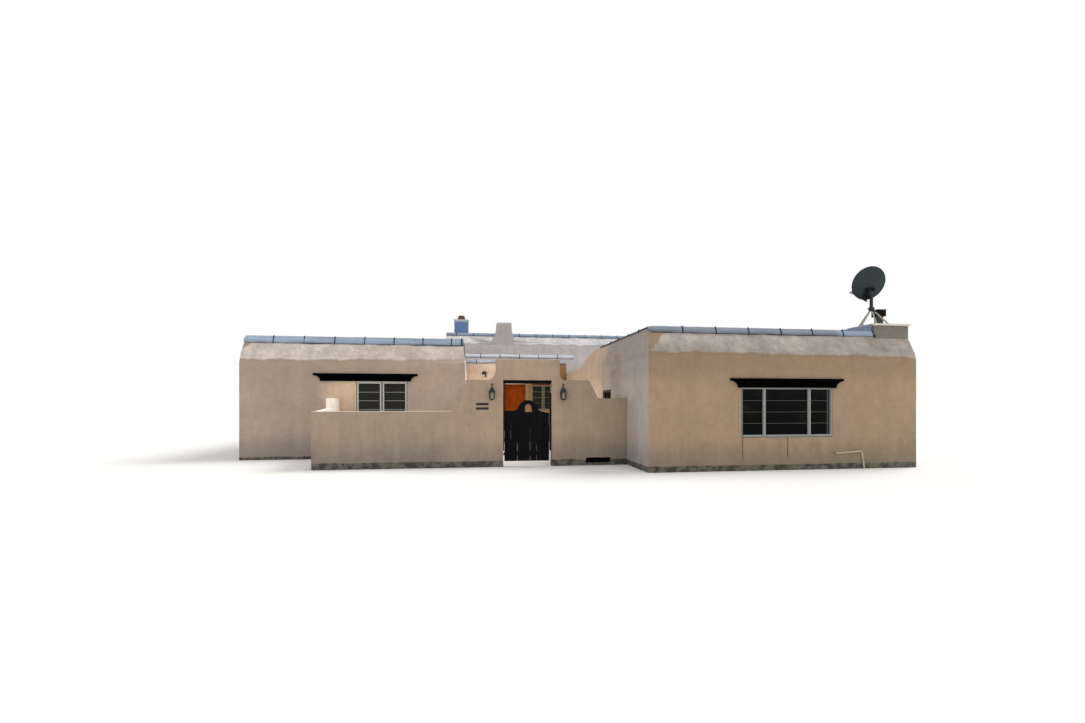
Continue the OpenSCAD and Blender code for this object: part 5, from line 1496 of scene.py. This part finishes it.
class HOUSE_OT_dish(bpy.types.Operator):
    """Builds the satellite dish with its rim, bracket and receiver arm"""
    bl_idname = "house.dish"
    bl_label = "Satellite dish"

    def execute(self, context):
        colours = context.scene.house_fittings
        skin = weathered_paint("dish_paint", colours.dish, paint(74, 80, 80), 0.3, 0.7, 3,
                               specular=0.12)
        dark = weathered_paint("dish_bracket", paint(26, 29, 30), paint(62, 54, 46), 0.3, 0.6, 20,
                               specular=0.12)
        pale = weathered_paint("receiver_shell", paint(176, 178, 176), paint(120, 118, 110), 0.3,
                               0.5, 20)
        zinc = weathered_paint("stand_zinc", colours.stand, paint(110, 96, 82), 0.35, 0.6, 15,
                               specular=0.15, above=(4.27, paint(44, 48, 50)))
        mast_x, mast_y, down = 8.485, -9.09, 0.25
        place = Matrix.Translation((mast_x, mast_y, 4.78)) \
            @ Matrix.Rotation(math.radians(-7), 4, "Z") \
            @ Matrix.Rotation(math.radians(22), 4, "X") @ Matrix.Translation((0, 0, down))
        # How far the rim stands off the mast, the bowl's radius and depth, its thickness
        arm, radius, bowl, thick = 0.12, 0.465, 0.10, 0.012
        ball, rings = (radius ** 2 + bowl ** 2) / (2 * bowl), 12
        curve = []
        for k in range(rings + 1):
            r = radius * k / rings
            curve.append((r, arm + ball - math.sqrt(ball * ball - r * r)))
        lip = [(radius - 0.001, arm + bowl + 0.012), (radius - 0.014, arm + bowl + 0.016)]
        behind = [(r, y + thick) for r, y in reversed(curve[:-1])]
        low_z, high_z = -down - 0.15, 0.14 - down
        pieces = (
            shape("dish_bowl", skin, 50, (lathe, (0, 0, 0), curve + lip + behind, 56, True)),
            shape("dish_bracket", dark, 40,
                  (box, (-0.082, 0.0, low_z), (-0.058, arm + 0.02, high_z), 0.004),
                  (box, (0.058, 0.0, low_z), (0.082, arm + 0.02, high_z), 0.004),
                  (box, (-0.11, arm - 0.012, low_z - 0.01), (0.11, arm + 0.018, high_z + 0.01),
                   0.006),
                  (tube, (-0.085, 0.05, low_z + 0.07), (0.085, 0.05, low_z + 0.07), 0.011),
                  (tube, (-0.085, 0.05, high_z - 0.08), (0.085, 0.05, high_z - 0.08), 0.011),
                  (box, (-0.018, arm + 0.01, -0.50), (0.018, arm + 0.05, -0.30), 0.004),
                  (tube, (0, arm + 0.03, -0.485), (-0.06, 0.73, -0.37), 0.014)),
            shape("dish_receiver", pale, 40,
                  (tube, (-0.06, 0.72, -0.38), (-0.065, 0.77, -0.33), 0.026, 16),
                  (tube, (-0.07, 0.70, -0.31), (-0.07, 0.79, -0.35), 0.036, 20, 0.03),
                  (box, (-0.11, 0.75, -0.38), (-0.03, 0.82, -0.32), 0.012)),
        )
        for piece, node in zip(pieces, ("dish", None, None)):
            piece.data.transform(place)
            hand_over(piece, "house", node)
        give("dish_stand", zinc)
        feet = [(post, mast_x + x, mast_y + y, 0.04, z, z + 0.01, 0.002) for x, y, z in (
            (-0.40, -0.13, 3.876), (0.055, -0.13, 3.92), (0.55, -0.055, 3.92),
            (-0.055, 0.41, 3.92))]
        fixings = shape(
            "stand_fixings", zinc, 40, *feet,
            (tube, (mast_x, mast_y, 4.32), (mast_x, mast_y, 4.40), 0.062, 20),
            (tube, (mast_x - 0.065, mast_y, 4.36), (mast_x + 0.065, mast_y, 4.36), 0.012))
        hand_over(fixings, "house")
        return {"FINISHED"}


class HOUSE_OT_chimneys(bpy.types.Operator):
    """Finishes both chimneys and builds the flue with its rusty cowl"""
    bl_idname = "house.chimneys"
    bl_label = "Chimneys and flue"

    def execute(self, context):
        walls = context.scene.house_walls
        colours = context.scene.house_fittings
        finish = stucco("stucco_centre_chimney", scaled(walls.raised, 0.8), walls, strip_z=0)
        stack = softened("centre_chimney_skin", ["centre_chimney"], finish,
                         lambda m, a: 0.06 if m.z > 6.05 else 0)
        front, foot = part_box("centre_chimney")[0].yz
        # The foot runs on down inside the parapet
        for v in stack.data.vertices:
            if v.co.z < foot + 0.01:
                v.co.z -= 0.25
                v.co.y = max(v.co.y, front + 0.02)
        hand_over(stack, "house")
        cement = stucco("cement_corner_chimney", walls.chimney, walls, strip_z=0, coarse=0.25)
        slab_paint = stucco("cement_slab", walls.slab, walls, strip_z=0)
        low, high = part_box("chimney_block")
        under = high.z - 0.055
        whole = join_pieces("corner_chimney_skin", [
            shape("corner_chimney", cement, 40, (box, (low.x + 0.03, low.y + 0.03, low.z),
                                                 (high.x - 0.03, high.y - 0.03, under), 0.02)),
            shape("corner_slab", slab_paint, 40, (box, (low.x, low.y, under), high, 0.006))])
        hand_over(whole, "house", "chimney_block")

        rust = weathered_paint("rusty_steel", colours.rust, paint(70, 44, 30), 0.5, 0.8, 9,
                               specular=0.05)
        edge = weathered_paint("cowl_edge", paint(132, 126, 116), colours.rust, 0.4, 0.6, 12)
        # The flue's clay colour, darkened with the painted shade it lies in behind the tripod
        clay = weathered_paint("flue_clay_and_shade", paint(68, 65, 60), paint(52, 48, 44), 0.4, 0.8, 9)
        low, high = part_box("flue")
        x, y = (low.x + high.x) / 2, (low.y + high.y) / 2
        half = (high.x - low.x) / 2 - 0.015
        foot, radius, bar = low.z + 0.30, 0.11, 0.012
        parts = [shape("flue_pipe", clay, 40,
                       (tube, (x, y, low.z), (x, y, foot + 0.01), radius, 32),
                       (tube, (x, y, low.z), (x, y, low.z + 0.03), radius + 0.012, 32)),
                 shape("cowl_frame", rust, 40,
                       *[(post, *corner, bar, foot, high.z - 0.018)
                         for corner in four(x, y, half - bar)],
                       (post, x, y, half, foot, foot + 0.015, 0.003),
                       (post, x, y, half - 0.02, foot, high.z - 0.03, 0.004))]
        for turns in range(4):
            upright = shape("cowl_bars", None, None,
                            (box, (-half + 0.012, -half + 0.004, foot + 0.012),
                             (-half + 0.021, -half + 0.009, high.z - 0.019)))
            level = shape("cowl_wires", None, None,
                          (box, (-half + 0.006, -half + 0.003, foot + 0.03),
                           (half - 0.006, -half + 0.006, foot + 0.037)))
            for piece in (repeated(upright, 10, (0.0245, 0, 0), rust, 0.002, turns + 1),
                          repeated(level, 6, (0, 0, 0.024), rust, 0.0015, turns + 5)):
                piece.data.transform(quarter_turns(x, y, turns))
                parts.append(piece)
        parts.append(shape("cowl_lid", edge, None,
                           (post, x, y, half + 0.012, high.z - 0.02, high.z, 0.004)))
        hand_over(join_pieces("flue_and_cowl", parts), "house", "flue")
        return {"FINISHED"}


class HOUSE_OT_roof_vent(bpy.types.Operator):
    """Builds the roof vent: flat panels in a pale frame, under a rusty hood"""
    bl_idname = "house.roof_vent"
    bl_label = "Roof vent"

    def execute(self, context):
        colours = context.scene.house_fittings
        body_paint = weathered_paint("vent_paint", colours.vent, paint(140, 148, 156), 0.3, 0.6, 4)
        frame_paint = weathered_paint("vent_frame", paint(182, 194, 204), paint(120, 112, 104),
                                      0.2, 0.55, 8)
        rust = weathered_paint("hood_rust", paint(92, 66, 48), paint(130, 84, 52), 0.6, 0.75, 7)
        low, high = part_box("roof_vent")
        x, y = (low.x + high.x) / 2, (low.y + high.y) / 2
        half, top, band = (high.x - low.x) / 2, high.z - 0.25, 0.13
        parts = [
            shape("vent_core", body_paint, None, *[
                (box, (low.x + dx, low.y + dy, foot), (high.x - dx, high.y - dy, head), bevel)
                for dx, dy, foot, head, bevel in (
                    (0.012, 0.012, low.z, top - 0.02, 0.004),
                    (0.08, 0.006, low.z + 0.1, top - 0.15, 0.003),
                    (0.006, 0.08, low.z + 0.1, top - 0.15, 0.003))]),
            shape("vent_rim", frame_paint, None,
                  *[(post, *corner, 0.018, low.z, top, 0.004)
                    for corner in four(x, y, half - 0.018)],
                  (box, (low.x, low.y, top - band), (high.x, high.y, top), 0.008))]
        for turns in range(4):
            screw = shape("vent_screws", None, None,
                          (dome, (-half + 0.06, -half, top - band / 2), 0.009, 8))
            row = repeated(screw, 6, (0.134, 0, 0), rust, 0.002, turns)
            row.data.transform(quarter_turns(x, y, turns))
            parts.append(row)
        root = math.sqrt(2)
        parts.append(shape(
            "vent_hood", rust, None,
            (pyramid, (x, y, top + 0.1), 0.23 * root, 0.16 * root, 0.2),
            (pyramid, (x, y, high.z - 0.025), 0.17 * root, 0.14 * root, 0.05)))
        hand_over(join_pieces("roof_vent_box", parts), "house", "roof_vent")
        return {"FINISHED"}


class HOUSE_OT_pipe(bpy.types.Operator):
    """Builds the drain pipe with its elbows and sleeves, and finishes the floor indoors"""
    bl_idname = "house.pipe"
    bl_label = "Drain pipe and floor"

    def execute(self, context):
        colours = context.scene.house_fittings
        plastic = weathered_paint("pipe_plastic", colours.pipe, paint(130, 122, 100), 0.3, 0.55, 12)
        low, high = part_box("drain_pipe")
        r, sink, slant, bend, steps = 0.022, 0.05, 0.075, 0.05, 6
        y, z, x = (low.y + high.y) / 2, high.z - r, high.x - r
        along = Vector((x - low.x, 0, sink)).normalized()
        down = Vector((slant, 0, low.z - z)).normalized()
        corner = Vector((x, y, z))
        start, foot = corner - along * (x - low.x), corner + down * (z - low.z)
        enter, leave = corner - along * bend, corner + down * bend
        points = [enter.lerp(corner, k / steps).lerp(corner.lerp(leave, k / steps), k / steps)
                  for k in range(steps + 1)]
        pipe = shape(
            "drain_pipe_run", plastic, 40,
            *[(tube, a, b, r, 20)
              for a, b in [(start, enter), (leave, foot), *zip(points, points[1:])]],
            *[(tube, a, b, r + 0.0035, 20)
              for a, b in ((start, start + along * 0.04), (enter - along * 0.035, enter),
                           (leave, leave + down * 0.035))])
        hand_over(pipe, "house", "drain_pipe")
        give("floor", clay_tiles("indoor_tiles", colours.tile))
        return {"FINISHED"}


# Stage


class HOUSE_OT_stage(bpy.types.Operator):
    """Sets the pale floor, the soft lights and the camera at the photograph's angle"""
    bl_idname = "house.stage"
    bl_label = "Stage"

    def execute(self, context):
        stage = context.scene.house_stage
        scene = context.scene
        f = Finish("stage_floor", roughness=0.95, specular_ior_level=0.1)
        tone = 1 + (f.grain(f.place(), 0.05, 2) - 0.5) * 0.03
        f.wear(base_color=f.blend(1.0, stage.ground, tone, "MULTIPLY"))
        bm = bmesh.new()
        bmesh.ops.create_circle(bm, cap_ends=True, segments=96, radius=400)
        floor = to_object("stage_floor", bm, f.material)
        for v in floor.data.vertices:
            v.co.z = -0.002

        world = bpy.data.worlds.new("soft_sky")
        scene.world = world
        world.use_nodes = True
        tree = world.node_tree
        path = add_node(tree, "ShaderNodeLightPath").outputs
        both = add_node(tree, "ShaderNodeMath", {"operation": "ADD"},
                        {0: path["Is Camera Ray"], 1: path["Is Glossy Ray"]})
        seen = add_node(tree, "ShaderNodeMath", {"operation": "ADD", "use_clamp": True},
                        {0: both.outputs[0], 1: path["Is Transmission Ray"]})
        strength = add_node(tree, "ShaderNodeMapRange", None,
                            {0: seen.outputs[0], 3: stage.sky, 4: 1.0})
        sky = tree.nodes["Background"]
        sky.inputs["Color"].default_value = (1, 1, 1, 1)
        tree.links.new(strength.outputs[0], sky.inputs["Strength"])

        for name, power, angle, tilt, around in (
                ("high_back_light", stage.back, 30, 38, 105),
                ("low_front_light", stage.front, 120, 62, -15)):
            lamp = bpy.data.lights.new(name, "SUN")
            lamp.energy, lamp.angle = power, math.radians(angle)
            light = bpy.data.objects.new(name, lamp)
            light.rotation_euler = (math.radians(tilt), 0, math.radians(around))
            scene.collection.objects.link(light)

        lens = bpy.data.cameras.new("photo_camera")
        lens.sensor_width, lens.lens, lens.shift_y = 36, stage.lens, stage.shift
        lens.clip_end = 2000
        camera = bpy.data.objects.new("photo_camera", lens)
        camera.location = stage.eye
        camera.rotation_euler = (math.pi / 2, 0, -stage.turn)
        scene.collection.objects.link(camera)
        scene.camera = camera
        scene.view_settings.view_transform = "Standard"
        return {"FINISHED"}


class HOUSE_PT_panel(bpy.types.Panel):
    """Lists the house's pieces in the order in which they are made"""
    bl_idname = "HOUSE_PT_panel"
    bl_label = "Courtyard House"
    bl_space_type = "VIEW_3D"
    bl_region_type = "UI"
    bl_category = "Courtyard House"

    def draw(self, context):
        for operator in OPERATORS:
            self.layout.operator(operator.bl_idname)
        for group in SETTINGS:
            column = self.layout.box().column()
            settings = getattr(context.scene, group)
            for name in SETTINGS[group].__annotations__:
                column.prop(settings, name)


SETTINGS = {
    "house_walls": HouseWallSettings, "house_roofing": HouseRoofingSettings,
    "house_windows": HouseWindowSettings, "house_gate": HouseGateSettings,
    "house_door": HouseDoorSettings, "house_fittings": HouseFittingSettings,
    "house_stage": HouseStageSettings,
}
OPERATORS = (HOUSE_OT_walls, HOUSE_OT_courtyard, HOUSE_OT_roofing, HOUSE_OT_windows,
             HOUSE_OT_lintels, HOUSE_OT_gate, HOUSE_OT_front_door, HOUSE_OT_lanterns,
             HOUSE_OT_dish, HOUSE_OT_chimneys, HOUSE_OT_roof_vent, HOUSE_OT_pipe,
             HOUSE_OT_stage)


def register():
    for name, group in SETTINGS.items():
        bpy.utils.register_class(group)
        setattr(bpy.types.Scene, name, bpy.props.PointerProperty(type=group))
    for operator in OPERATORS:
        bpy.utils.register_class(operator)
    bpy.utils.register_class(HOUSE_PT_panel)


def unregister():
    bpy.utils.unregister_class(HOUSE_PT_panel)
    for operator in reversed(OPERATORS):
        bpy.utils.unregister_class(operator)
    for name, group in SETTINGS.items():
        delattr(bpy.types.Scene, name)
        bpy.utils.unregister_class(group)


def main():
    register()
    for operator in OPERATORS:
        area, name = operator.bl_idname.split(".")
        getattr(getattr(bpy.ops, area), name)()
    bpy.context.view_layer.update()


if __name__ == "__main__":
    main()
